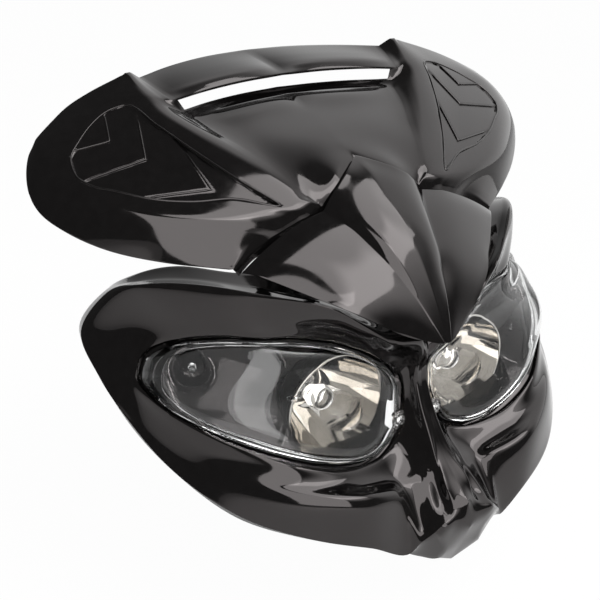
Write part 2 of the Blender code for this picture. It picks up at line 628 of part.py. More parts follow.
# Bosses on the shells and the bolts that hold the bracket
COWL_BOLT = (26.0, 140.0)
MASK_BOLT = (24.0, 80.0)
for sign, side in ((1, "right"), (-1, "left")):
    spot = (sign * COWL_BOLT[0], COWL_BOLT[1], 0)
    combine(top_cowl, cylinder(f"cowl_boss_{side}", 7.0, 228.4, 251.0, spot, "Z"), "UNION")
    combine(top_cowl, cylinder(f"cowl_bore_{side}", 2.9, 220.0, 246.0, spot, "Z", 16), "DIFFERENCE")
    combine(bracket, cylinder(f"top_leg_bore_{side}", 3.3, 220.0, 232.0, spot, "Z", 16), "DIFFERENCE")
    spot = (sign * MASK_BOLT[0], MASK_BOLT[1], 0)
    combine(mask_shell, cylinder(f"mask_boss_{side}", 7.0, 171.4, 175.0, spot, "Z"), "UNION")
    combine(mask_shell, cylinder(f"mask_bore_{side}", 3.0, 160.0, 190.0, spot, "Z", 16), "DIFFERENCE")
    combine(bracket, cylinder(f"middle_leg_bore_{side}", 3.3, 160.0, 175.0, spot, "Z", 16), "DIFFERENCE")
combine(mask_shell, cylinder("nose_boss", 5.6, 30.0, 48.0, (0, 0, 95)), "UNION")
combine(mask_shell, cylinder("nose_bore", 2.9, 40.0, 56.0, (0, 0, 95), sides=16), "DIFFERENCE")
combine(bracket, cylinder("foot_bore", 3.3, 44.0, 56.0, (0, 0, 95), sides=16), "DIFFERENCE")
UP = (0, 0, 1)
bolt_profile = [(0, 17), (2.6, 17), (2.6, 0.0), (5.4, 0.0), (5.4, -4.0), (0, -4.0)]
turned_pair("cowl_bolt", bolt_profile, zinc_screw, (COWL_BOLT[0], COWL_BOLT[1], 224.7), UP, 20)
mask_bolt_profile = [(0, 9.6), (2.6, 9.6), (2.6, 0.0), (5.4, 0.0), (5.4, -4.0), (0, -4.0)]
turned_pair("mask_bolt", mask_bolt_profile, zinc_screw, (MASK_BOLT[0], MASK_BOLT[1], 167.7), UP, 20)
turned("nose_bolt", [(0, 10.5), (2.6, 10.5), (2.6, 0.0), (5.4, 0.0), (5.4, -4.0), (0, -4.0)], zinc_screw,
       (0, 51.6, 95), FRONT, 20)
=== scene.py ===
"""Looks of the dual headlight: smooth shells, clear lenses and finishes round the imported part.

Control points are in millimetres from the chin tip, as the part's own source gives them.
"""
import math

import bmesh
import bpy
import numpy as np
from mathutils import Matrix, Vector


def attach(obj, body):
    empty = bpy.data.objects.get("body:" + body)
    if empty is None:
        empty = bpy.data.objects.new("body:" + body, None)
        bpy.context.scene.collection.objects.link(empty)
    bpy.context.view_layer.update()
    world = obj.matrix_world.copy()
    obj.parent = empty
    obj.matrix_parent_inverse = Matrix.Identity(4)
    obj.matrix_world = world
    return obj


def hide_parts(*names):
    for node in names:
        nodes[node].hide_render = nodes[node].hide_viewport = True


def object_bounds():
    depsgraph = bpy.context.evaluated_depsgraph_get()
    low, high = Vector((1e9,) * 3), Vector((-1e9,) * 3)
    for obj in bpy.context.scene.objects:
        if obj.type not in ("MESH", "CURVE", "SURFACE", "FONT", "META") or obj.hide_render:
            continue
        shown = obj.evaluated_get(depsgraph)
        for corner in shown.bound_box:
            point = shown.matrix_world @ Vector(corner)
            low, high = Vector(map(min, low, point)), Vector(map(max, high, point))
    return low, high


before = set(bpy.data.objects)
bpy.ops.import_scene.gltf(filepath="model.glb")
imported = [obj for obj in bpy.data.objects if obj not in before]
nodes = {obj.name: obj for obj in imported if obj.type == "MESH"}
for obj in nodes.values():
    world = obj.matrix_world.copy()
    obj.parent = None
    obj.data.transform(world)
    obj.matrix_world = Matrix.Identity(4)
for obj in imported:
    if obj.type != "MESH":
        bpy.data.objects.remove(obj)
cad_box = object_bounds()

# Size of a millimetre, the frame's origin seen from the chin tip, and the wall of the black shells
MM = 0.001
ORIGIN = np.array((0.0, 170.0, 108.0))
SHELL = 2.6


# Materials

RAMP_FROM = 0.3
RAMP_TO = 0.7
TINT_FROM = 0.35
TINT_TO = 0.65


def new_material(name):
    """A new material, its node tree and its shader."""
    mat = bpy.data.materials.new(name)
    mat.use_nodes = True
    tree = mat.node_tree
    return mat, tree, tree.nodes["Principled BSDF"]


def noise(tree, scale, detail, rough=0.5):
    """Noise in the object's own space."""
    place = tree.nodes.new("ShaderNodeTexCoord")
    cloud = tree.nodes.new("ShaderNodeTexNoise")
    cloud.inputs["Scale"].default_value = scale
    cloud.inputs["Detail"].default_value = detail
    cloud.inputs["Roughness"].default_value = rough
    tree.links.new(place.outputs["Object"], cloud.inputs["Vector"])
    return cloud


def ramp(tree, source, low, high):
    """Map a noise value to a range of numbers."""
    spread = tree.nodes.new("ShaderNodeMapRange")
    spread.inputs["From Min"].default_value = RAMP_FROM
    spread.inputs["From Max"].default_value = RAMP_TO
    spread.inputs["To Min"].default_value = low
    spread.inputs["To Max"].default_value = high
    tree.links.new(source, spread.inputs["Value"])
    return spread.outputs["Result"]


def tint(tree, source, dark, light):
    """Colour between dark and light by a noise value."""
    band = tree.nodes.new("ShaderNodeValToRGB")
    band.color_ramp.elements[0].position = TINT_FROM
    band.color_ramp.elements[0].color = (*dark, 1)
    band.color_ramp.elements[1].position = TINT_TO
    band.color_ramp.elements[1].color = (*light, 1)
    tree.links.new(source, band.inputs["Fac"])
    return band.outputs["Color"]


def bump(tree, bsdf, source, strength, depth):
    """Fine relief from a noise value."""
    relief = tree.nodes.new("ShaderNodeBump")
    relief.inputs["Strength"].default_value = strength
    relief.inputs["Distance"].default_value = depth
    tree.links.new(source, relief.inputs["Height"])
    tree.links.new(relief.outputs["Normal"], bsdf.inputs["Normal"])


def gloss_plastic(name, dark, light, ior=1.52):
    """Polished moulded plastic: slow flow waves and faint rubbing marks."""
    mat, tree, bsdf = new_material(name)
    wave = noise(tree, 38.0, 1.0)
    rub = noise(tree, 160.0, 4.0, 0.65)
    tree.links.new(tint(tree, rub.outputs["Fac"], dark, light), bsdf.inputs["Base Color"])
    tree.links.new(ramp(tree, rub.outputs["Fac"], 0.045, 0.085), bsdf.inputs["Roughness"])
    bump(tree, bsdf, wave.outputs["Fac"], 0.05, 0.0006)
    bsdf.inputs["IOR"].default_value = ior
    bsdf.inputs["Specular Tint"].default_value = (1.0, 0.93, 0.925, 1)
    return mat


def matt_plastic(name, dark, light, low, high):
    """Matt plastic, rubber or paint with a fine grain."""
    mat, tree, bsdf = new_material(name)
    grain = noise(tree, 900.0, 3.0)
    tree.links.new(tint(tree, grain.outputs["Fac"], dark, light), bsdf.inputs["Base Color"])
    tree.links.new(ramp(tree, grain.outputs["Fac"], low, high), bsdf.inputs["Roughness"])
    bump(tree, bsdf, grain.outputs["Fac"], 0.15, 0.0001)
    return mat


def clear_plastic(name, tone, low, high):
    """Clear moulded plastic with a little surface haze."""
    mat, tree, bsdf = new_material(name)
    haze = noise(tree, 60.0, 3.0)
    tree.links.new(ramp(tree, haze.outputs["Fac"], low, high), bsdf.inputs["Roughness"])
    bsdf.inputs["Base Color"].default_value = (*tone, 1)
    bsdf.inputs["Transmission Weight"].default_value = 1.0
    bsdf.inputs["IOR"].default_value = 1.4
    return mat


def mirror_metal(name, dark, light, wave_scale, wave_strength):
    """Vacuum metallised bowl with slow waves in its mirror."""
    mat, tree, bsdf = new_material(name)
    wave = noise(tree, wave_scale, 2.0)
    tree.links.new(tint(tree, wave.outputs["Fac"], dark, light), bsdf.inputs["Base Color"])
    tree.links.new(ramp(tree, wave.outputs["Fac"], 0.02, 0.07), bsdf.inputs["Roughness"])
    bump(tree, bsdf, wave.outputs["Fac"], wave_strength, 0.001)
    bsdf.inputs["Metallic"].default_value = 1.0
    return mat


def plain_metal(name, dark, light, low, high, scale):
    """Plated or bare metal with a fine grain."""
    mat, tree, bsdf = new_material(name)
    grain = noise(tree, scale, 3.0)
    tree.links.new(tint(tree, grain.outputs["Fac"], dark, light), bsdf.inputs["Base Color"])
    tree.links.new(ramp(tree, grain.outputs["Fac"], low, high), bsdf.inputs["Roughness"])
    bump(tree, bsdf, grain.outputs["Fac"], 0.1, 0.00008)
    bsdf.inputs["Metallic"].default_value = 1.0
    return mat


SHELL_DARK = (0.0024, 0.0022, 0.0022)
SHELL_LIGHT = (0.0038, 0.0035, 0.0035)
cowl_black = gloss_plastic("cowl_black", SHELL_DARK, SHELL_LIGHT)
brow_black = gloss_plastic("brow_black", SHELL_DARK, SHELL_LIGHT)
mask_black = gloss_plastic("mask_black", SHELL_DARK, SHELL_LIGHT)
bezel_black = gloss_plastic("bezel_black", (0.002, 0.002, 0.002), (0.0032, 0.003, 0.003), 1.34)
# A lighter, shinier copy of the black plastic for the thin moulded edges: a painted highlight line along
# them
edge_highlight_paint = gloss_plastic("edge_highlight_paint", (0.03, 0.03, 0.03), (0.07, 0.068, 0.065), 2.3)
housing_black = matt_plastic("housing_black", (0.012, 0.012, 0.012), (0.02, 0.02, 0.02), 0.35, 0.5)
lens_clear = clear_plastic("lens_clear", (0.985, 0.99, 0.99), 0.0, 0.015)
glass_clear = clear_plastic("glass_clear", (0.99, 0.99, 0.985), 0.0, 0.01)
bowl_chrome = mirror_metal("bowl_chrome", (0.42, 0.395, 0.36), (0.7, 0.68, 0.65), 22.0, 0.05)
cap_metal = plain_metal("cap_metal", (0.5, 0.5, 0.5), (0.68, 0.67, 0.65), 0.2, 0.35, 400.0)
zinc = plain_metal("zinc", (0.55, 0.55, 0.54), (0.8, 0.8, 0.79), 0.16, 0.34, 900.0)
# Dark metal for the bars laid across each screw head: painted shade of the cross recess, not a cut
recess_painted_shade = plain_metal("recess_painted_shade", (0.05, 0.05, 0.05), (0.12, 0.12, 0.12), 0.3, 0.5, 900.0)
rubber = matt_plastic("rubber", (0.014, 0.014, 0.014), (0.024, 0.024, 0.024), 0.6, 0.8)
bracket_paint = matt_plastic("bracket_paint", (0.014, 0.014, 0.015), (0.022, 0.022, 0.023), 0.3, 0.42)


# Curves and grids

MIN_GAP = 0.01
FAIR_STEP = 0.028
MERGE_DIST = 0.00001
SLIVER_DIST = 0.000005
MIRROR_DIST = 0.0001
BAR_SIDES = 10
BAR_TIP_R = 0.05
EDGE_SEGMENTS = 3


def refine(net, steps, closed=False):
    """Smooth curve through the rows of net, with the given steps in each span."""
    net = np.array(net, dtype=float)
    count = len(net)
    spans = count if closed else count - 1
    gaps = []
    for i in range(spans):
        delta = net[(i + 1) % count] - net[i]
        gaps.append(max(float(np.mean(np.linalg.norm(delta, axis=-1))), MIN_GAP))
    slopes = [(net[(i + 1) % count] - net[i]) / gaps[i] for i in range(spans)]
    tangents = []
    for i in range(count):
        if closed or 0 < i < count - 1:
            a = gaps[(i - 1) % spans]
            b = gaps[i % spans]
            tangents.append((b * slopes[(i - 1) % spans] + a * slopes[i % spans]) / (a + b))
        else:
            tangents.append(slopes[0] if i == 0 else slopes[-1])
    if isinstance(steps, int):
        steps = [steps] * spans
    out = []
    for i in range(spans):
        p, q = net[i], net[(i + 1) % count]
        m0, m1 = tangents[i] * gaps[i], tangents[(i + 1) % count] * gaps[i]
        for j in range(steps[i]):
            t = j / steps[i]
            out.append((2 * t**3 - 3 * t**2 + 1) * p + (t**3 - 2 * t**2 + t) * m0
                       + (3 * t**2 - 2 * t**3) * q + (t**3 - t**2) * m1)
    if not closed:
        out.append(net[-1])
    return np.array(out)


def across(net, steps, breaks=()):
    """Refine along the columns, with a crease at each break column."""
    turned_net = np.swapaxes(np.array(net, dtype=float), 0, 1)
    marks = [0, *breaks, len(turned_net) - 1]
    pieces = []
    for start, end in zip(marks, marks[1:]):
        part = refine(turned_net[start:end + 1], list(steps[start:end]))
        pieces.append(part if end == marks[-1] else part[:-1])
    return np.swapaxes(np.concatenate(pieces), 0, 1)


def down(net, steps, breaks=()):
    """Refine along the rows, with a crease at each break row."""
    return np.swapaxes(across(np.swapaxes(np.array(net, dtype=float), 0, 1), steps, breaks), 0, 1)


def fair(grid, hold, rounds, closed=False):
    """Even out the curvature of a grid's free points, with the held points fixed."""
    def lap(g):
        """Each point's sum of steps to its neighbours."""
        out = np.zeros_like(g)
        out[:, 1:-1] += g[:, 2:] + g[:, :-2] - 2 * g[:, 1:-1]
        if closed:
            out += np.roll(g, 1, 0) + np.roll(g, -1, 0) - 2 * g
        else:
            out[1:-1] += g[2:] + g[:-2] - 2 * g[1:-1]
        return out

    grid = grid.copy()
    free = ~hold
    for _ in range(rounds):
        grid[free] -= FAIR_STEP * lap(lap(grid))[free]
    return grid


def mesh_from_grid(name, net, closed=False, skip=None, flip=False):
    """Grid mesh over net[row][column], millimetres from the chin tip in, metres in the part's frame out."""
    rows, cols = net.shape[:2]
    mesh = bpy.data.meshes.new(name)
    bm = bmesh.new()
    verts = [[bm.verts.new(Vector(net[i][j] - ORIGIN) * MM) for j in range(cols)] for i in range(rows)]
    last = rows if closed else rows - 1
    for i in range(last):
        for j in range(cols - 1):
            if skip and skip(i, j):
                continue
            quad = [verts[i][j], verts[i][j + 1], verts[(i + 1) % rows][j + 1], verts[(i + 1) % rows][j]]
            bm.faces.new(quad[::-1] if flip else quad)
    bmesh.ops.remove_doubles(bm, verts=bm.verts, dist=MERGE_DIST)
    bmesh.ops.dissolve_degenerate(bm, edges=bm.edges, dist=SLIVER_DIST)
    for face in bm.faces:
        face.smooth = True
    bm.to_mesh(mesh)
    bm.free()
    return bpy.data.objects.new(name, mesh)


def round_bar(name, path, up, radius, closed):
    """Thin round bar along a path that lies about square to the direction up."""
    if closed:
        along = np.roll(path, -1, 0) - np.roll(path, 1, 0)
    else:
        along = np.gradient(path, axis=0)
    along /= np.linalg.norm(along, axis=1)[:, None]
    side_of = np.cross(along, up)
    side_of /= np.linalg.norm(side_of, axis=1)[:, None]
    up_of = np.cross(side_of, along)
    reach = np.full((len(path), 1), radius)
    if not closed:
        reach[0] = reach[-1] = BAR_TIP_R
    loops = []
    for k in range(BAR_SIDES + 1):
        angle = 2.0 * math.pi * k / BAR_SIDES
        loops.append(path + reach * (math.cos(angle) * side_of + math.sin(angle) * up_of))
    return mesh_from_grid(name, np.swapaxes(np.array(loops), 0, 1), closed=closed)


def show(obj, mat, stands_for=()):
    """Put a piece in the scene, on the part's one body."""
    bpy.context.scene.collection.objects.link(obj)
    obj.data.materials.clear()
    obj.data.materials.append(mat)
    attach(obj, "root")
    if stands_for:
        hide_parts(*stands_for)


def mirrored(obj, clip=True):
    """Add the left half of a right-hand piece."""
    mod = obj.modifiers.new("mirror", "MIRROR")
    mod.use_clip = clip
    mod.merge_threshold = MIRROR_DIST


def walled(obj, wall, even=True):
    """Give the surface a wall behind it, of even thickness or as plain steps along the normals."""
    mod = obj.modifiers.new("wall", "SOLIDIFY")
    mod.thickness = wall * MM
    mod.offset = -1.0
    mod.use_even_offset = even
    mod.thickness_clamp = 1.0


def edged(obj, width, angle):
    """Small moulded radius along the creases sharper than the angle."""
    mod = obj.modifiers.new("edges", "BEVEL")
    mod.width = width * MM
    mod.segments = EDGE_SEGMENTS
    mod.limit_method = "ANGLE"
    mod.angle_limit = math.radians(angle)
    mod.use_clamp_overlap = True
    mod.harden_normals = False


# Top cowl

# The wing faces: a reference point of their plane, its slopes, the tip, the swell and the square direction
WING_REF = (122.0, 190.0, 280.0)
WING_DX = -0.279
WING_DY = 0.737
WING_TIP_Y = 98.0
WING_SWELL = 3.4
WING_UP = np.array((-WING_DX, -WING_DY, 1.0)) / math.sqrt(1.0 + WING_DX**2 + WING_DY**2)

# How far the face has rolled down to the rim, at each share of the way out to it
ROLL = (0.0, 0.0, 0.0, 0.05, 0.28, 0.64, 1.0)
ROLL_AT = (0.0, 0.28, 0.56, 0.78, 0.91, 0.975, 1.0)


def wing_z(x, y):
    """Height of the wing face, with the swell between its tip and its top edge."""
    share = min(max((y - WING_TIP_Y) / (WING_REF[1] - WING_TIP_Y), 0.0), 1.0)
    swell = WING_SWELL * 4.0 * share * (1.0 - share)
    return WING_REF[2] + WING_DX * (x - WING_REF[0]) + WING_DY * (y - WING_REF[1]) + swell


def wing_row(inner, rim):
    """Points from the panel's inner line to the rim: flat, then rolled down to the rim height."""
    drop = wing_z(rim[0], rim[1]) - rim[2]
    row = []
    for share, roll in zip(ROLL_AT, ROLL):
        x = inner[0] + share * (rim[0] - inner[0])
        y = inner[1] + share * (rim[1] - inner[1])
        row.append((x, y, wing_z(x, y) - roll * drop))
    return row


def field_row(centre, foot):
    """Centre point, two points across the middle field and the foot of the ridge."""
    row = [centre]
    for share in (0.35, 0.7):
        x = share * foot[0]
        y = centre[1] + share**2 * (foot[1] - centre[1])
        z = centre[2] + share**2 * (foot[2] - centre[2])
        row.append((x, y, z))
    row.append(foot)
    return row


# Rows from the rear edge, over both edges of the slot, to the front edge and its turned-down lip
cowl_rows = [
    field_row((0, 245, 293), (99, 216, 290))
    + [(107, 213, 295), (112, 212.5, 294), (118, 212.5, 292), (136, 212, 286), (154, 209, 279),
       (168, 203, 272), (176, 199.5, 267.5), (180, 197.5, 265), (182, 196, 263)],
    field_row((0, 195, 285), (91, 186, 280)) + [(95, 188, 284), (106, 189, 284)]
    + wing_row((119, 190), (190, 189, 254)),
    field_row((0, 203, 271), (86, 183, 272)) + [(92, 183, 280), (103, 184, 281)]
    + wing_row((117, 184), (193, 184, 249)),
    field_row((0, 188, 272), (81, 176, 268)) + [(89, 177, 277), (101, 178, 278)]
    + wing_row((114, 177), (195, 179, 243)),
    field_row((0, 170, 267), (76, 161, 263)) + [(83, 162, 270), (94, 160, 268)]
    + wing_row((104, 156), (195, 168, 232)),
    field_row((0, 152, 261), (65, 139, 254)) + [(70, 140, 258), (80, 134, 254)]
    + wing_row((89, 129), (185, 153, 220)),
    field_row((0, 136, 255), (55, 117, 243)) + [(57, 118, 244.5), (66, 113, 241)]
    + wing_row((75, 108), (163, 133, 208)),
    field_row((0, 122, 249), (46, 101, 232)) + [(48, 102, 233), (55, 100, 232)]
    + wing_row((63, 99), (136, 114, 201)),
    [(0, 113.8, 244), (12.5, 105.2, 239.6), (24.5, 97.8, 234.2), (38, 94.1, 223.5), (40, 94.1, 224),
     (43, 94.2, 225), (50.5, 92.4, 223.7), (59.1, 92.3, 221), (66.8, 92.9, 218.2), (74.2, 94, 215.2),
     (84.2, 96.2, 210.7), (94, 95.8, 205.3), (104.1, 92.8, 197.3)],
    [(0, 107, 237.5), (12, 99.5, 232.5), (23, 95, 226.5), (36, 92.8, 214), (37.5, 92.8, 214.3),
     (40, 92.8, 214.8), (47, 92, 215.4), (55.5, 91.9, 213), (63.3, 92, 210.2), (70.7, 92.6, 207.2),
     (80.7, 94, 203), (90.5, 94.3, 198.5), (100.6, 91.9, 192.6)],
]
COWL_DOWN = [4, 2, 2, 4, 5, 5, 4, 4, 2]
COWL_ACROSS = [4, 4, 4, 2, 2, 2, 6, 6, 5, 3, 2, 2]
COWL_ROUNDS = 160
FINE = 4
FIELD_FINE = 2
FOOT = 3
FRONT = 8
field_net = down(np.array(cowl_rows)[:, :FOOT + 1], COWL_DOWN, (1, 2, 3, FRONT))
wing_net = down(np.array(cowl_rows)[:, FOOT:], COWL_DOWN, (FRONT,))
wing_net[:, 0] = field_net[:, -1]
cowl_net = np.concatenate([across(field_net, COWL_ACROSS[:FOOT])[:, :-1],
                           across(wing_net, COWL_ACROSS[FOOT:])], axis=1)
foot_col = sum(COWL_ACROSS[:FOOT])
slot_rear, slot_front, field_rear = np.cumsum(COWL_DOWN)[:3]
front_edge = sum(COWL_DOWN[:FRONT])
hold = np.zeros(cowl_net.shape[:2], dtype=bool)
hold[0] = hold[-1] = True
hold[:, -1] = hold[:, 0] = hold[:, foot_col] = True
hold[[slot_rear, slot_front, field_rear], :foot_col] = True
hold[front_edge] = True
cowl_net = fair(cowl_net, hold, COWL_ROUNDS)
fine_rows = [FINE] * (len(cowl_net) - 1)
field_net = down(cowl_net[:, :foot_col + 1], fine_rows, (slot_rear, slot_front, field_rear, front_edge))
field_net = across(field_net, [FIELD_FINE] * foot_col)
wing_net = down(cowl_net[:, foot_col:], fine_rows, (front_edge,))
wing_net = across(wing_net, [FINE] * (cowl_net.shape[1] - 1 - foot_col))
wing_net[:, 0] = field_net[:, -1]

# The wing panels: outline, three chevrons as inner end, vertex and outer end, and the depth of each level
PANEL_OUTLINE = [(66.5, 98.5), (83, 121), (98, 144), (112, 170), (122, 190), (134, 192), (147, 188),
                 (159, 181), (168, 174), (170, 162), (164, 153), (155, 146), (136, 132), (114, 121),
                 (91, 113)]
CHEVRONS = [((104, 149), (100, 123), (136, 134)), ((120, 178), (128, 154), (166, 158)),
            ((137, 190), (142.5, 173), (166, 177.5))]
PANEL_DEPTH = 2.3
PANEL_STEP = 0.68
PANEL_RISER = 1.7
FAR = 1000.0

# The rounded edges of the panels: radius, depth below the face or above a step, and points along the line
BEAD_R = 0.75
OUTLINE_SINK = 0.35
CHEVRON_SINK = 0.3
OUTLINE_POINTS = 5
ARM_POINTS = 12
NEAR_POINTS = 14

# Room left between the cowl and the solids' box
BOX_MARGIN = (0.04, 0.4, 0.04)


def rise(distance, width):
    """Smooth step from 0 to 1 across a width centred on zero."""
    share = np.clip(distance / width + 0.5, 0.0, 1.0)
    return share * share * (3.0 - 2.0 * share)


def inside_distance(x, y, outline):
    """Distance to a closed outline, positive inside it."""
    best = np.full(x.shape, FAR)
    inside = np.zeros(x.shape, dtype=bool)
    for (ax, ay), (bx, by) in zip(outline, outline[1:] + outline[:1]):
        ex, ey = bx - ax, by - ay
        share = np.clip(((x - ax) * ex + (y - ay) * ey) / (ex * ex + ey * ey), 0.0, 1.0)
        best = np.minimum(best, np.hypot(x - ax - share * ex, y - ay - share * ey))
        crossed = (ay > y) != (by > y)
        inside ^= crossed & (x < ax + (y - ay) * ex / (ey if ey else 1.0))
    return np.where(inside, best, -best)


def past_chevron(x, y, inner, vertex, outer):
    """Distance beyond a V line, positive between its two arms."""
    (ax, ay), (vx, vy), (bx, by) = inner, vertex, outer
    arm_in = math.hypot(ax - vx, ay - vy)
    arm_out = math.hypot(bx - vx, by - vy)
    from_inner = ((x - vx) * (ay - vy) - (y - vy) * (ax - vx)) / arm_in
    from_outer = ((y - vy) * (bx - vx) - (x - vx) * (by - vy)) / arm_out
    return np.minimum(from_inner, from_outer)


wx, wy = wing_net[:, :, 0], wing_net[:, :, 1]
depth = np.full(wx.shape, PANEL_DEPTH)
for chevron in CHEVRONS:
    depth -= PANEL_STEP * rise(past_chevron(wx, wy, *chevron), PANEL_RISER)
depth *= rise(inside_distance(wx, wy, PANEL_OUTLINE), PANEL_RISER)
depth[front_edge * FINE:] = 0.0
face_points = wing_net.reshape(-1, 3)


def on_face(x, y):
    """Point of the wing face above x and y, from the nearest grid points."""
    near = np.argsort((face_points[:, 0] - x)**2 + (face_points[:, 1] - y)**2)[:NEAR_POINTS]
    spots = face_points[near]
    terms = np.stack([np.ones(len(near)), spots[:, 0] - x, spots[:, 1] - y], axis=1)
    return np.array((x, y, np.linalg.lstsq(terms, spots[:, 2], rcond=None)[0][0]))


def bead(name, corners, level, closed=False):
    """Thin rounded edge along a line on the wing face, at the given depth below it."""
    line = np.array([(x, y, 0.0) for x, y in corners])
    if closed:
        line = refine(line, OUTLINE_POINTS, closed=True)
    else:
        arms = [np.linspace(a, b, ARM_POINTS, endpoint=False) for a, b in zip(line, line[1:])]
        line = np.concatenate(arms + [line[-1:]])
    path = np.array([on_face(x, y) for x, y, _ in line]) - level * WING_UP
    return round_bar(name, path, WING_UP, BEAD_R, closed)


panel_beads = [bead("panel_edge", PANEL_OUTLINE, OUTLINE_SINK, closed=True)]
for k, chevron in enumerate(CHEVRONS):
    panel_beads.append(bead(f"chevron_{k + 1}", chevron, PANEL_DEPTH - PANEL_STEP * (k + 1) + CHEVRON_SINK))
wing_net = wing_net - depth[:, :, None] * WING_UP
cowl_net = np.concatenate([field_net[:, :-1], wing_net], axis=1)
cowl_net = np.minimum(cowl_net, np.array(cad_box[1]) / MM + ORIGIN - BOX_MARGIN)
slot_first = slot_rear * FINE
slot_last = slot_front * FINE
slot_cols = FIELD_FINE * foot_col - 1
top_cowl = mesh_from_grid("cowl_shell", cowl_net, flip=True,
                          skip=lambda i, j: slot_first < i < slot_last - 1 and j < slot_cols)
mirrored(top_cowl)
walled(top_cowl, SHELL)
edged(top_cowl, 0.8, 36.0)
show(top_cowl, cowl_black, ("top_cowl",))
for piece in panel_beads:
    mirrored(piece, clip=False)
    show(piece, cowl_black)


# Brow cover

STRIP_AT = (0.36, 0.7, 0.88)
STRIP_POWER = 1.6
PANEL_AT = (0.27, 0.5, 0.73, 0.88)


def brow_row(centre, edge, low, lean, swell):
    """Centre, middle strip out to its edge, then the swelling side panel down to the lower edge.

    The strip falls evenly by the share lean and near its edge by the rest; the panel swells by swell.
    """
    row = [centre]
    for share in STRIP_AT:
        back = 1.0 - (1.0 - share)**STRIP_POWER
        down = lean * share + (1.0 - lean) * share**4
        row.append((share * edge[0], centre[1] + back * (edge[1] - centre[1]),
                    centre[2] + down * (edge[2] - centre[2])))
    row.append(edge)
    for share in PANEL_AT:
        x, y, z = (a + share * (b - a) for a, b in zip(edge, low))
        row.append((x, y, z + 4.0 * swell * share * (1.0 - share)))
    row.append(low)
    return row


# Rows from the rear edge to the tip between the lamps
brow_rows = [
    brow_row((0, 111.3, 246.7), (39, 91, 223), (101, 88.3, 195.8), 0.55, 4.0),
    brow_row((0, 95, 240), (35, 83, 219.3), (96, 82.5, 195.3), 0.6, 3.9),
    brow_row((0, 80, 230), (30, 74.1, 214.8), (88.7, 74.7, 192.3), 0.45, 3.6),
    brow_row((0, 64, 218), (25.5, 63, 207.5), (79.2, 65, 187.8), 0.2, 3.2),
    brow_row((0, 50, 205), (20, 50, 197.6), (70.1, 55.9, 183.4), 0.15, 2.6),
    brow_row((0, 39, 192), (15, 40, 187), (57, 42.5, 177.3), 0.25, 2.0),
    brow_row((0, 29, 178), (10.5, 30, 175.8), (41, 31.5, 168), 0.35, 1.4),
    brow_row((0, 20, 163), (6.2, 20.8, 163), (24, 23.7, 158), 0.5, 0.7),
    brow_row((0, 13.5, 151.7), (2.5, 13.9, 151.9), (6.7, 15.3, 152.3), 0.5, 0.0),
]
STRIP_COLS = 1 + len(STRIP_AT)
STRIP_ROUNDS = 60
PANEL_ROUNDS = 90
BROW_DOWN = 3
BROW_FINE = 3

# The step from the strip's edge down to the side panel, full where the panel is at least this wide
STRIP_STEP = np.array((0.55, -0.1, -1.0))
STEP_WIDTH = 20.0


def faired_patch(net, cols, rounds):
    """Patch through a control net, faired inside its border and then made finer."""
    patch = across(down(net, [BROW_DOWN] * (len(net) - 1)), [cols] * (net.shape[1] - 1))
    keep = np.zeros(patch.shape[:2], dtype=bool)
    keep[0] = keep[-1] = True
    keep[:, 0] = keep[:, -1] = True
    patch = fair(patch, keep, rounds)
    return across(down(patch, [BROW_FINE] * (len(patch) - 1)), [BROW_FINE] * (patch.shape[1] - 1))


brow_net = np.array(brow_rows, dtype=float)
centre_strip = faired_patch(brow_net[:, :STRIP_COLS + 1], 2, STRIP_ROUNDS)
side_panel = brow_net[:, STRIP_COLS:].copy()
panel_width = np.linalg.norm(side_panel[:, -1] - side_panel[:, 0], axis=1)
side_panel[:, 0] += np.clip(panel_width / STEP_WIDTH, 0.0, 1.0)[:, None] * STRIP_STEP
side_panel = faired_patch(side_panel, 3, PANEL_ROUNDS)
brow_net = np.concatenate([centre_strip, side_panel], axis=1)
brow_cover = mesh_from_grid("brow_shell", brow_net, flip=True)
mirrored(brow_cover)
walled(brow_cover, SHELL)
edged(brow_cover, 0.45, 24.0)
show(brow_cover, brow_black, ("brow_cover",))


# Mask shell

LAMP_CENTRE = np.array((84.0, 52.0, 116.0))
LAMP_HALF_W = 60.0
LAMP_HALF_H = 40.0
SEAT_DEPTH = 3.4

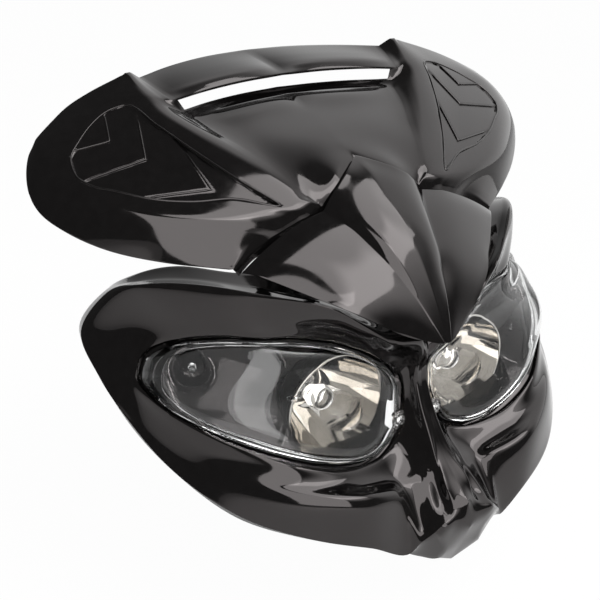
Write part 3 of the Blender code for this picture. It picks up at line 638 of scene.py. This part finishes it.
# Stations round the lamp: lens edge, crest of the rim, foot of its outer side, outer face and back edge
stations = [
    [(12.5, 44, 112), (4.2, 37, 122), (1.2, 37.2, 122), (0.6, 37.3, 122), (0, 37.4, 122)],
    [(14, 46.5, 118), (5, 31, 138), (1.2, 31.2, 138.6), (0.6, 31.3, 139), (0, 31.4, 139)],
    [(19, 47, 125), (10, 27, 149), (7, 31, 152.5), (3.5, 36, 155), (0, 40, 157)],
    [(27, 45, 131.5), (27, 30, 154), (24, 41, 160), (14, 60, 169), (0, 76, 176)],
    [(39, 49, 140), (45, 37.5, 166), (44, 48, 168), (41, 68, 174), (38, 90, 182)],
    [(56, 55, 148), (66, 43.5, 181), (66, 51, 178), (66, 66, 177.5), (62, 101, 184)],
    [(77, 64, 153), (94, 65, 187.4), (94, 73, 183.5), (92, 90, 183), (89, 112, 185)],
    [(102, 71, 157), (124, 92, 192), (123, 100, 189), (119, 122, 184), (114, 146, 184)],
    [(127, 95, 155), (147, 119, 188.5), (147, 127, 186), (143, 146, 180), (136, 166, 176)],
    [(143, 112, 149), (160, 142, 177), (161, 150, 176), (157, 165, 170), (149, 180, 164)],
    [(153, 117, 142), (174, 156, 148), (176, 162, 148), (172, 174, 146), (162, 187, 142)],
    [(158, 115, 130), (173, 132, 125), (176, 138, 126), (172, 152, 125), (162, 169, 122)],
    [(156, 98, 121), (164, 105, 101), (167, 108, 99), (165, 124, 97), (156, 143, 95)],
    [(141, 73, 110), (149, 73, 82), (153, 73, 76), (150, 88, 71), (142, 107, 69)],
    [(121, 54, 100), (127, 43, 74), (130, 41, 58), (128, 56, 50), (121, 79, 48)],
    [(97, 38, 90), (98, 18.5, 68.5), (98, 14, 46), (97, 30, 38), (92, 55, 37)],
    [(68, 31, 80), (66, 2.6, 64), (65, 0, 35), (64, 14, 28), (62, 42, 27)],
    [(46, 31, 76), (40, 5, 56), (38, -3, 25), (36, 8, 18), (34, 36, 17)],
    [(35, 33, 76), (29, 7.5, 54.5), (29, -9.5, 35.5), (17, -7, 12), (0, 30, 8)],
    [(28, 35.5, 77.5), (21, 6.5, 57.5), (24, -13, 40.2), (9, -11, 20), (0, -1, 1)],
    [(24, 37, 79), (17, 6.2, 59.5), (19, -13.4, 44.8), (9, -15.8, 40), (0, -17, 36)],
    [(21, 38, 81.5), (13, 6, 62), (11.5, -8, 48.4), (6, -12.5, 50), (0, -15.5, 51.5)],
    [(17.5, 38, 86), (9.6, 6, 64.5), (8.8, -0.5, 61), (4.5, -2.6, 60.2), (0, -3.4, 60)],
    [(15.5, 39, 90.5), (6.5, 13, 75), (2.0, 12.6, 75), (1.0, 12.6, 75), (0, 12.6, 75)],
    [(14, 41, 96), (5, 22, 88), (1.4, 22.6, 88), (0.7, 22.7, 88), (0, 22.8, 88)],
    [(12.3, 43.5, 105), (4.4, 32, 105), (1.2, 32.5, 105), (0.6, 32.6, 105), (0, 32.6, 105)],
]
base = np.array([s[0] for s in stations], dtype=float)
crest = np.array([s[1] for s in stations], dtype=float)


def seat_terms(x, z):
    """Terms of the polynomial that describes the swept face of the lamp."""
    u = (x - LAMP_CENTRE[0]) / LAMP_HALF_W
    v = (z - LAMP_CENTRE[2]) / LAMP_HALF_H
    return np.stack([np.ones_like(u), u, u * u, u**3, v, u * v, v * v], axis=-1)


seat_fit = np.linalg.lstsq(seat_terms(base[:, 0], base[:, 2]), base[:, 1], rcond=None)[0]


def seat_y(x, z):
    """Depth of the smooth swept face that the lens edge lies on."""
    return seat_terms(np.asarray(x, dtype=float), np.asarray(z, dtype=float)) @ seat_fit


def seat_normal(loop):
    """Unit vectors square to the swept face, pointing to the front."""
    step = 0.5
    gx = (seat_y(loop[:, 0] + step, loop[:, 2]) - seat_y(loop[:, 0] - step, loop[:, 2])) / (2 * step)
    gz = (seat_y(loop[:, 0], loop[:, 2] + step) - seat_y(loop[:, 0], loop[:, 2] - step)) / (2 * step)
    normal = np.stack([gx, -np.ones_like(gx), gz], axis=1)
    return normal / np.linalg.norm(normal, axis=1)[:, None]


def inset(loop, amount, behind=0.0):
    """Move a loop towards the lamp centre along the swept face, then back along its normal."""
    away = loop - LAMP_CENTRE
    away[:, 1] = 0.0
    amount = np.asarray(amount, dtype=float).reshape(-1, 1)
    moved = loop - amount * away / np.linalg.norm(away, axis=1)[:, None]
    moved[:, 1] = loop[:, 1] + seat_y(moved[:, 0], moved[:, 2]) - seat_y(loop[:, 0], loop[:, 2])
    return moved - behind * seat_normal(moved)


# The lens seat: how far inside the lens edge its parts lie, and how deep the hollow between the wall and
# the crest is sunk at each station, less than nothing where it swells
OPENING_IN = 3.0
SEAT_IN = -1.2
WALL_IN = -2.4
WALL_DEPTH = 0.6
HOLLOW = np.array([1.0] * 2 + [1.6] * 2 + [-3.0] * 5 + [1.6] * 14 + [1.0] * 3)
opening = inset(base, OPENING_IN, SEAT_DEPTH)
seat = inset(base, SEAT_IN, SEAT_DEPTH)
wall_foot = inset(base, WALL_IN, WALL_DEPTH)
hollow = wall_foot + 0.5 * (crest - wall_foot)
hollow[:, 1] += HOLLOW
rings = [opening, seat, wall_foot, hollow, crest]
for k in (2, 3, 4):
    rings.append(np.array([s[k] for s in stations], dtype=float))
CREST_RING = 4
FOOT_RING = 5
FOOT_SHARE = 0.8
rings.insert(FOOT_RING, crest + FOOT_SHARE * (rings[FOOT_RING] - crest))
ring_net = np.swapaxes(np.array(rings), 0, 1)

# The chin: one more station beside it, then groove foot, block edge, front face and keel of each station
CHIN_FIRST = 17
BESIDE_CHIN_CREST = (34.5, 6.3, 55)
beside_chin = refine(ring_net, 2, closed=True)[2 * CHIN_FIRST + 1]
beside_chin[CREST_RING] = BESIDE_CHIN_CREST
ring_net = np.insert(ring_net, CHIN_FIRST + 1, beside_chin, axis=0)
chin_points = [
    [(38, -2, 29), (38, -4, 22.5), (36, 8, 16), (34, 36, 17)],
    [(33.3, -5, 35.5), (33, -8, 31), (27, -1, 14), (0, 30, 8)],
    [(28.5, -5.5, 37.8), (27.5, -11.4, 36.7), (17, -7, 12.4), (0, -1, 1.0)],
    [(25, -7, 42), (24.1, -12.9, 40.2), (12, -12.5, 26), (0, -9, 18)],
    [(20, -7.5, 46.5), (19.4, -13.7, 44.6), (9.5, -15.8, 40), (0, -17, 36)],
    [(12.5, -2, 50.5), (11, -7.8, 48.5), (5.6, -10.8, 50.2), (0, -13.2, 51.8)],
    [(9.4, 2, 62), (9.3, -1.6, 60.4), (5, -3, 59.8), (0, -3.6, 59.6)],
    [(5.4, 12.7, 74), (4.7, 12.4, 73.7), (2.3, 12.1, 73.6), (0, 12, 73.6)],
]
for k, spots in enumerate(chin_points):
    ring_net[CHIN_FIRST + k, FOOT_RING:] = spots

# The chin's keel is straight between its points
KEEL_LAST = CHIN_FIRST + 6
AROUND = 9
mask_net = refine(ring_net, AROUND, closed=True)
for k in range(CHIN_FIRST, KEEL_LAST):
    for j in range(AROUND):
        share = j / AROUND
        mask_net[k * AROUND + j, -1] = (1.0 - share) * ring_net[k, -1] + share * ring_net[k + 1, -1]

# Columns of the finer net: wall foot, foot of the rim's outer side and its lip. The mask is faired between
# the first two, and the chin's front face beyond the lip.
MASK_ACROSS = [2, 3, 9, 9, 4, 2, 6, 6]
MASK_CREASES = (1, 2, 6, 7)
WALL_COL = sum(MASK_ACROSS[:2])
FOOT_COL = sum(MASK_ACROSS[:5])
LIP_COL = sum(MASK_ACROSS[:6])
KEEL_SNAP = 1.5
MASK_ROUNDS = 200
FACE_ROUNDS = 150
FACE_FROM = (CHIN_FIRST + 3) * AROUND - 4
FACE_TO = (CHIN_FIRST + 8) * AROUND
mask_net = across(mask_net, MASK_ACROSS, MASK_CREASES)
mask_net[:, :, 0] = np.maximum(mask_net[:, :, 0], 0.0)
mask_net[:, -1, 0] = np.where(mask_net[:, -1, 0] < KEEL_SNAP, 0.0, mask_net[:, -1, 0])
mask_hold = np.ones(mask_net.shape[:2], dtype=bool)
mask_hold[:, WALL_COL + 1:FOOT_COL] = False
mask_net = fair(mask_net, mask_hold, MASK_ROUNDS, closed=True)
face_hold = np.ones(mask_net.shape[:2], dtype=bool)
face_hold[FACE_FROM:FACE_TO, LIP_COL + 1:-1] = False
mask_net = fair(mask_net, face_hold, FACE_ROUNDS, closed=True)
mask_shell = mesh_from_grid("mask_body", mask_net, closed=True, flip=True)
mirrored(mask_shell)
walled(mask_shell, SHELL, even=False)
edged(mask_shell, 0.5, 30.0)
show(mask_shell, mask_black, ("mask_shell",))


# Lenses

# The dome: its direction, height and steps, the points round it, its wall, how far the flat edge reaches
# in from the lens edge, and how much further at the outer tail
DOME_WAY = np.array((0.35, -0.85, 0.35)) / np.linalg.norm((0.35, -0.85, 0.35))
DOME_H = 16.0
DOME_STEPS = 26
LENS_AROUND = 160
LOOP_FINE = 8
LENS_WALL = 2.0
LENS_IN = 0.6
ROOT_IN = 3.4
TAIL_IN = 5.0
TAIL_X = 100.0
TAIL_RUN = 58.0
TINY = 0.001


def both_sides(name, obj, mat, node):
    """Show a right-hand piece and its mirror image on the left."""
    twin_mesh = obj.data.copy()
    twin_mesh.transform(Matrix.Scale(-1, 4, Vector((1, 0, 0))))
    twin_mesh.flip_normals()
    twin = bpy.data.objects.new(f"{name}_left", twin_mesh)
    for mod in obj.modifiers:
        walled(twin, mod.thickness / MM, mod.use_even_offset)
    obj.name = f"{name}_right"
    show(obj, mat, (f"{node}_right",) if node else ())
    show(twin, mat, (f"{node}_left",) if node else ())


lens_edge = inset(base, LENS_IN)
lens_root = inset(base, ROOT_IN + TAIL_IN * np.clip((base[:, 0] - TAIL_X) / TAIL_RUN, 0.0, 1.0))
root_miss = lens_root[:, 1] - seat_y(lens_root[:, 0], lens_root[:, 2])


def evenly_spaced(loop):
    """The smooth closed loop, cut into even steps."""
    fine = refine(loop, LOOP_FINE, closed=True)
    ring = np.concatenate([fine, fine[:1]])
    run = np.concatenate([[0.0], np.cumsum(np.linalg.norm(np.diff(ring, axis=0), axis=1))])
    at = np.arange(LENS_AROUND) / LENS_AROUND * run[-1]
    return np.stack([np.interp(at, run, ring[:, k]) for k in range(ring.shape[1])], axis=1)


def drawn_in(loop, share):
    """The loop shrunk smoothly towards its middle: its waves die out faster than its size."""
    waves = np.fft.fft(loop, axis=0)
    order = np.abs(np.fft.fftfreq(len(loop), 1.0 / len(loop)))
    return np.real(np.fft.ifft(waves * (share**order)[:, None], axis=0))


root_ring = evenly_spaced(np.concatenate([lens_root, root_miss[:, None]], axis=1))
lens_loops = [evenly_spaced(lens_edge), root_ring[:, :3]]
for k in range(1, DOME_STEPS + 1):
    turn = math.radians(90.0 * k / DOME_STEPS)
    flat = drawn_in(root_ring, max(math.cos(turn), TINY))
    flat[:, 1] = seat_y(flat[:, 0], flat[:, 2]) + flat[:, 3]
    lens_loops.append(flat[:, :3] + DOME_WAY * DOME_H * math.sin(turn))
lens_net = np.swapaxes(np.array(lens_loops), 0, 1)
lens = mesh_from_grid("lens", lens_net, closed=True, flip=True)
walled(lens, LENS_WALL, even=False)
both_sides("lens_blister", lens, lens_clear, "lens")


# Reflector bowls and the bulbs' glass, turned about the main lamp axis

BOWL_CENTRE = np.array((52.5, 57.0, 103.0))
BOWL_R = 35.0
BOWL_DEPTH = 38.0
BOWL_WALL = 1.5
BOWL_BACK = 0.5
NECK_R = 11.0
BOWL_STEPS = 30
BOWL_POWER = 1.4
BOWL_AROUND = 128
GLOBE_R = 9.4
GLOBE_AT = 18.0
GLOBE_STEPS = 17
GLOBE_STEP = 8.0
GLOBE_AROUND = 64


def turned(name, profile, steps):
    """Closed surface of revolution about the lamp axis from radius and depth pairs, right-hand side."""
    loops = []
    for k in range(steps):
        angle = 2.0 * math.pi * k / steps
        spots = [(r * math.cos(angle), d, r * math.sin(angle)) for r, d in profile]
        loops.append([BOWL_CENTRE + np.array(spot) for spot in spots])
    return mesh_from_grid(name, np.array(loops), closed=True)


inner_face = []
for k in range(BOWL_STEPS + 1):
    depth_here = BOWL_DEPTH * (k / BOWL_STEPS)**BOWL_POWER
    radius_here = NECK_R + (BOWL_R - NECK_R) * math.sqrt(1.0 - depth_here / BOWL_DEPTH)
    inner_face.append((radius_here, depth_here))
outer_face = [(r + BOWL_WALL, d + BOWL_BACK) for r, d in inner_face[::-1]]
bowl_rim = [(BOWL_R + BOWL_WALL, -0.4), (36.1, -0.6), (35.3, -0.6), (BOWL_R, -0.4)]
bowl = turned("bowl", bowl_rim + inner_face + outer_face + bowl_rim[:1], BOWL_AROUND)
both_sides("reflector_bowl", bowl, bowl_chrome, "reflector")

globe_profile = []
for k in range(GLOBE_STEPS):
    angle = math.radians(GLOBE_STEP * k)
    globe_profile.append((GLOBE_R * math.sin(angle) + TINY, GLOBE_AT - GLOBE_R * math.cos(angle)))
globe_profile += [(6.3, 28.0), (5.5, 31.0), (5.5, 36.9), (TINY, 36.9)]
globe = turned("globe", globe_profile, GLOBE_AROUND)
both_sides("bulb_glass", globe, glass_clear, "bulb")


# Lamp bezels: gloss black faces round the bowl, with a dish round the position lamp

BOWL_HOLE = 37.2
BEZEL_IN = 5.7
BEZEL_BACK = 6.6
BEZEL_WALL = 0.8
BEZEL_MIN = 1.6
BEZEL_STEPS = 44
COLLAR_MIN = 0.8
COLLAR_LEAD = 1.2
DISH_AT = (112.0, 125.0)
DISH_R = 33.0
DISH_DEPTH = 2.6
DISH_RISER = 2.4
CUP_AT = np.array((129.0, 104.0, 132.0))
CUP_WAY = np.array((0.45, -0.85, 0.25)) / np.linalg.norm((0.45, -0.85, 0.25))
CUP_HOLE = 13.9
NEAR_AXIS = 0.1


def bezel_y(x, z):
    """Depth of the bezel face: behind the swept face, deeper inside the round dish."""
    dish = rise(DISH_R - np.hypot(x - DISH_AT[0], z - DISH_AT[1]), DISH_RISER)
    return seat_y(x, z) + BEZEL_BACK + DISH_DEPTH * dish


bezel_edge = refine(inset(base, BEZEL_IN, BEZEL_BACK), AROUND, closed=True)
spoke = bezel_edge - BOWL_CENTRE
spoke[:, 1] = 0.0
reach = np.linalg.norm(spoke, axis=1)[:, None]
spoke /= reach
lip_reach = np.minimum(BOWL_HOLE, reach - BEZEL_MIN)
bezel_loops = []
for k in range(BEZEL_STEPS + 1):
    loop = BOWL_CENTRE + spoke * (reach + (lip_reach - reach) * k / BEZEL_STEPS)
    loop[:, 1] = bezel_y(loop[:, 0], loop[:, 2])
    bezel_loops.append(loop)
collar = BOWL_CENTRE + spoke * lip_reach
collar[:, 1] = np.maximum(bezel_loops[-1][:, 1] + COLLAR_MIN, BOWL_CENTRE[1] - COLLAR_LEAD)
bezel_loops.append(collar)
bezel_net = np.swapaxes(np.array(bezel_loops), 0, 1)
from_axis = bezel_net - CUP_AT
from_axis = from_axis - (from_axis @ CUP_WAY)[:, :, None] * CUP_WAY
off_axis = np.linalg.norm(from_axis, axis=2)
inside_cup = off_axis < CUP_HOLE
push = np.where(inside_cup, CUP_HOLE / np.maximum(off_axis, NEAR_AXIS) - 1.0, 0.0)


def in_cup(i, j):
    """True for a bezel face that lies wholly inside the hole of the position lamp."""
    both_spokes = [i, (i + 1) % len(inside_cup)]
    return bool(inside_cup[both_spokes, j:j + 2].all())


bezel_net = bezel_net + push[:, :, None] * from_axis
bezel = mesh_from_grid("bezel", bezel_net, closed=True, flip=True, skip=in_cup)
walled(bezel, BEZEL_WALL, even=False)
both_sides("lamp_bezel", bezel, bezel_black, None)

# The conical collar from the bezel face back to the position lamp's cup
CUP_AROUND = 72
CUP_ROUNDS = 8
CUP_BACK_R = 11.9
CUP_BACK = 0.4
CUP_WALL = 0.7
side_way = np.cross(CUP_WAY, (0.0, 0.0, 1.0))
side_way /= np.linalg.norm(side_way)
up_way = np.cross(side_way, CUP_WAY)
turns = np.linspace(0.0, 2.0 * math.pi, CUP_AROUND, endpoint=False)
around_cup = np.cos(turns)[:, None] * side_way + np.sin(turns)[:, None] * up_way
front_ring = CUP_AT + CUP_HOLE * around_cup
for _ in range(CUP_ROUNDS):
    miss = front_ring[:, 1] - bezel_y(front_ring[:, 0], front_ring[:, 2])
    front_ring = front_ring - (miss / CUP_WAY[1])[:, None] * CUP_WAY
back_ring = CUP_AT + CUP_BACK_R * around_cup + CUP_BACK * CUP_WAY
collar_loops = [front_ring + (back_ring - front_ring) * share for share in (0.0, 0.25, 0.5, 0.75, 1.0)]
cup_collar = mesh_from_grid("collar", np.swapaxes(np.array(collar_loops), 0, 1), closed=True)
walled(cup_collar, CUP_WALL)
both_sides("cup_collar", cup_collar, bezel_black, None)

# Thin moulded edges on the bezel, round the cup and round the dish where it lies on the bezel, in a lighter
# plastic that paints a highlight line
CUP_EDGE_R = 0.6
DISH_EDGE_R = 0.7
DISH_EDGE_OUT = 0.4
DISH_EDGE_LIFT = 0.1
DISH_AROUND = 120
DISH_SHORTEST = 5
FROM_OUTLINE = 1.5
FROM_BOWL = 1.0
cup_edge = round_bar("cup_edge", front_ring, CUP_WAY, CUP_EDGE_R, True)
both_sides("cup_edge", cup_edge, edge_highlight_paint, None)
bezel_outline = [(x, z) for x, _, z in bezel_edge[::3]]
dish_turns = np.linspace(0.0, 2.0 * math.pi, DISH_AROUND, endpoint=False)
dish_x = DISH_AT[0] + (DISH_R + DISH_EDGE_OUT) * np.cos(dish_turns)
dish_z = DISH_AT[1] + (DISH_R + DISH_EDGE_OUT) * np.sin(dish_turns)
on_bezel = inside_distance(dish_x, dish_z, bezel_outline) > FROM_OUTLINE
on_bezel &= np.hypot(dish_x - BOWL_CENTRE[0], dish_z - BOWL_CENTRE[2]) > BOWL_HOLE + FROM_BOWL
starts = [k for k in range(len(on_bezel)) if on_bezel[k] and not on_bezel[k - 1]]
for number, start in enumerate(starts):
    arc = []
    while on_bezel[(start + len(arc)) % len(on_bezel)] and len(arc) < len(on_bezel):
        spot = (start + len(arc)) % len(on_bezel)
        face_y = float(seat_y(dish_x[spot], dish_z[spot])) + BEZEL_BACK
        arc.append((dish_x[spot], face_y - DISH_EDGE_LIFT, dish_z[spot]))
    if len(arc) > DISH_SHORTEST:
        dish_edge = round_bar(f"dish_edge_{number}", np.array(arc), (0.0, -1.0, 0.0), DISH_EDGE_R, False)
        both_sides(f"dish_edge_{number}", dish_edge, edge_highlight_paint, None)

# Moulded ring round each lens screw, in a lighter plastic that paints a highlight, and a dark bar of
# painted shade for the cross recess in its head

SCREW_RING = 5.4
SCREW_RING_R = 0.8
SCREW_RING_LIFT = 0.2
SCREW_AROUND = 48
CROSS_REACH = 2.3
CROSS_R = 0.42
CROSS_SINK = 0.25
CROSS_POINTS = 9
washer = nodes["lens_washer_right"]
head = nodes["lens_screw_right"]
washer_spots = np.array([washer.matrix_world @ v.co for v in washer.data.vertices]) / MM + ORIGIN
head_spots = np.array([head.matrix_world @ v.co for v in head.data.vertices]) / MM + ORIGIN
washer_middle = (washer_spots.min(axis=0) + washer_spots.max(axis=0)) / 2.0
screw_way = np.linalg.svd(washer_spots - washer_spots.mean(axis=0))[2][-1]
screw_way = screw_way if screw_way[1] < 0 else -screw_way
head_top = float(np.max((head_spots - washer_middle) @ screw_way))
ring_side = np.cross(screw_way, (0.0, 0.0, 1.0))
ring_side /= np.linalg.norm(ring_side)
ring_up = np.cross(ring_side, screw_way)
ring_turns = np.linspace(0.0, 2.0 * math.pi, SCREW_AROUND, endpoint=False)[:, None]
ring_path = washer_middle + SCREW_RING * (np.cos(ring_turns) * ring_side + np.sin(ring_turns) * ring_up)
ring_path = ring_path + SCREW_RING_LIFT * screw_way
screw_ring = round_bar("screw_ring", ring_path, screw_way, SCREW_RING_R, True)
both_sides("screw_ring", screw_ring, edge_highlight_paint, None)
for number, way in enumerate((ring_side + ring_up, ring_side - ring_up)):
    way = way / np.linalg.norm(way)
    middle = washer_middle + (head_top - CROSS_SINK) * screw_way
    shares = np.linspace(-1.0, 1.0, CROSS_POINTS)
    slot_path = np.array([middle + share * CROSS_REACH * way for share in shares])
    # A dark bar standing just proud of the head, painting the shade of one arm of the cross
    recess_shade_bar = round_bar(f"cross_{number}", slot_path, screw_way, CROSS_R, False)
    both_sides(f"screw_cross_{number}", recess_shade_bar, recess_painted_shade, None)


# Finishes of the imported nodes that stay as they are

SHARP_ANGLE = 35
PAIRED_NODES = (
    ("lens_gasket", rubber, "rubber"),
    ("lamp_housing", housing_black, "housing_black"),
    ("bulb_cap", cap_metal, "bulb_metal"),
    ("rubber_boot", rubber, "rubber"),
    ("lens_washer", zinc, "zinc"),
    ("lens_screw", zinc, "zinc"),
    ("position_cup", bezel_black, "housing_black"),
    ("position_bulb", glass_clear, "bulb_glass"),
    ("position_socket", rubber, "rubber"),
    ("cowl_bolt", zinc, "zinc"),
    ("mask_bolt", zinc, "zinc"),
)


def finish_node(name, mat):
    """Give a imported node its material, smooth faces and sharp corners."""
    obj = nodes[name]
    obj.data.materials.clear()
    obj.data.materials.append(mat)
    obj.data.shade_smooth()
    obj.data.set_sharp_from_angle(angle=math.radians(SHARP_ANGLE))


for side in ("left", "right"):
    for name, mat, slot in PAIRED_NODES:
        finish_node(f"{name}_{side}", mat)
finish_node("nose_bolt", zinc)
finish_node("mounting_bracket", bracket_paint)


# Floor, light and camera

FLOOR_Z = -0.150
FLOOR_R = 4.0
FLOOR_WHITE = 0.97


def seen_plainly(tree):
    """1 for rays from the camera, straight or through clear pieces, and 0 for gloss and lit surfaces."""
    rays = tree.nodes.new("ShaderNodeLightPath")
    seen = tree.nodes.new("ShaderNodeMath")
    seen.operation = "MAXIMUM"
    tree.links.new(rays.outputs["Is Camera Ray"], seen.inputs[0])
    tree.links.new(rays.outputs["Is Transmission Ray"], seen.inputs[1])
    return seen.outputs[0]


def pale_ground(mat_name):
    """Near white where the camera sees it, with a soft shadow; a lit pale floor to gloss."""
    mat, tree, bsdf = new_material(mat_name)
    dust = noise(tree, 6.0, 2.0)
    tree.links.new(tint(tree, dust.outputs["Fac"], (0.93, 0.93, 0.93), (0.96, 0.96, 0.96)),
                   bsdf.inputs["Base Color"])
    bsdf.inputs["Roughness"].default_value = 0.9
    glow = tree.nodes.new("ShaderNodeEmission")
    glow.inputs["Strength"].default_value = 1.0
    amount = tree.nodes.new("ShaderNodeMath")
    amount.operation = "MULTIPLY"
    amount.inputs[1].default_value = FLOOR_WHITE
    tree.links.new(seen_plainly(tree), amount.inputs[0])
    blend = tree.nodes.new("ShaderNodeMixShader")
    tree.links.new(amount.outputs[0], blend.inputs["Fac"])
    tree.links.new(bsdf.outputs["BSDF"], blend.inputs[1])
    tree.links.new(glow.outputs["Emission"], blend.inputs[2])
    tree.links.new(blend.outputs["Shader"], tree.nodes["Material Output"].inputs["Surface"])
    return mat


bpy.ops.mesh.primitive_circle_add(vertices=64, radius=FLOOR_R, fill_type="NGON", location=(0, 0, FLOOR_Z))
floor = bpy.context.object
floor.name = "floor"
floor.data.materials.append(pale_ground("floor_white"))

world = bpy.data.worlds.new("studio")
bpy.context.scene.world = world
world.use_nodes = True
sky = world.node_tree
back = sky.nodes["Background"]
back.inputs["Color"].default_value = (1, 1, 1, 1)
ray_way = sky.nodes.new("ShaderNodeTexCoord")
split = sky.nodes.new("ShaderNodeSeparateXYZ")
sky.links.new(ray_way.outputs["Generated"], split.inputs["Vector"])


def sky_math(operation, *values):
    """A maths node of the sky whose inputs are sockets or numbers."""
    node = sky.nodes.new("ShaderNodeMath")
    node.operation = operation
    for socket, value in zip(node.inputs, values):
        if isinstance(value, float):
            socket.default_value = value
        else:
            sky.links.new(value, socket)
    return node.outputs[0]


def sky_band(angle, start, full, fade, end):
    """1 between two angles in degrees, with soft flanks."""
    flanks = []
    for low, high in ((start, full), (end, fade)):
        ease = sky.nodes.new("ShaderNodeMapRange")
        ease.interpolation_type = "SMOOTHSTEP"
        ease.inputs["From Min"].default_value = min(low, high)
        ease.inputs["From Max"].default_value = max(low, high)
        ease.inputs["To Min"].default_value = 0.0 if low < high else 1.0
        ease.inputs["To Max"].default_value = 1.0 if low < high else 0.0
        sky.links.new(angle, ease.inputs["Value"])
        flanks.append(ease.outputs["Result"])
    return sky_math("MULTIPLY", *flanks)


# The camera sees a white sky. Gloss and lit surfaces see a dim studio with two soft bright patches, by
# direction (0 is the front, positive to +X) and height in degrees.
STUDIO_LEVEL = 0.12
SIDE_LEVEL = 1.15
SIDE_AZIMUTH = (56.0, 84.0, 128.0, 165.0)
SIDE_HEIGHT = (-20.0, -2.0, 50.0, 66.0)
UPPER_LEVEL = 2.6
UPPER_AZIMUTH = (-6.0, 6.0, 48.0, 72.0)
UPPER_HEIGHT = (24.0, 50.0, 60.0, 66.0)
forward = sky_math("MULTIPLY", split.outputs["Y"], -1.0)
azimuth = sky_math("DEGREES", sky_math("ARCTAN2", split.outputs["X"], forward))
elevation = sky_math("DEGREES", sky_math("ARCSINE", split.outputs["Z"]))
side_patch = sky_math("MULTIPLY", sky_band(azimuth, *SIDE_AZIMUTH), sky_band(elevation, *SIDE_HEIGHT))
upper_patch = sky_math("MULTIPLY", sky_band(azimuth, *UPPER_AZIMUTH), sky_band(elevation, *UPPER_HEIGHT))
patches = sky_math("ADD", sky_math("MULTIPLY", side_patch, SIDE_LEVEL),
                   sky_math("MULTIPLY", upper_patch, UPPER_LEVEL))
level = sky.nodes.new("ShaderNodeMix")
level.data_type = "FLOAT"
level.inputs["B"].default_value = 1.0
sky.links.new(seen_plainly(sky), level.inputs["Factor"])
sky.links.new(sky_math("ADD", STUDIO_LEVEL, patches), level.inputs["A"])
sky.links.new(level.outputs["Result"], back.inputs["Strength"])


LAMP_DISTANCE = 1.6
LAMP_TARGET = (0.0, -0.06, 0.05)


def studio_lamp(name, azimuth, elevation, width, height, radiance):
    """A softbox by its direction from the object (0 is the front, positive to +X) and its radiance."""
    az = math.radians(azimuth)
    el = math.radians(elevation)
    way = np.array((math.sin(az) * math.cos(el), -math.cos(az) * math.cos(el), math.sin(el)))
    place = tuple(np.array(LAMP_TARGET) + LAMP_DISTANCE * way)
    lamp = bpy.data.lights.new(name, "AREA")
    lamp.shape = "RECTANGLE"
    lamp.size = width
    lamp.size_y = height
    lamp.energy = math.pi * radiance * width * height
    obj = bpy.data.objects.new(name, lamp)
    obj.location = place
    aim = Vector(LAMP_TARGET) - Vector(place)
    obj.rotation_euler = aim.to_track_quat("-Z", "Y").to_euler()
    bpy.context.scene.collection.objects.link(obj)


studio_lamp("top_box", 35.0, 62.0, 1.4, 0.9, 4.0)
studio_lamp("front_box", -21.0, 27.0, 0.86, 1.8, 3.3)

AZIMUTH = math.radians(-34.21)
ELEVATION = math.radians(23.5)
CAMERA_AT = Vector((-0.41494, -0.60548, 0.33511))
LENS_MM = 66.0
SENSOR_MM = 36.0
right = Vector((math.cos(AZIMUTH), math.sin(AZIMUTH), 0))
toward = Vector((math.sin(AZIMUTH) * math.cos(ELEVATION), -math.cos(AZIMUTH) * math.cos(ELEVATION),
                 math.sin(ELEVATION)))
camera_data = bpy.data.cameras.new("camera")
camera_data.lens = LENS_MM
camera_data.sensor_width = SENSOR_MM
camera_data.clip_start = 0.01
camera = bpy.data.objects.new("camera", camera_data)
turn_to = Matrix((right, toward.cross(right), toward)).transposed().to_4x4()
camera.matrix_world = Matrix.Translation(CAMERA_AT) @ turn_to
bpy.context.scene.collection.objects.link(camera)
bpy.context.scene.camera = camera

bpy.context.scene.view_settings.view_transform = "Standard"
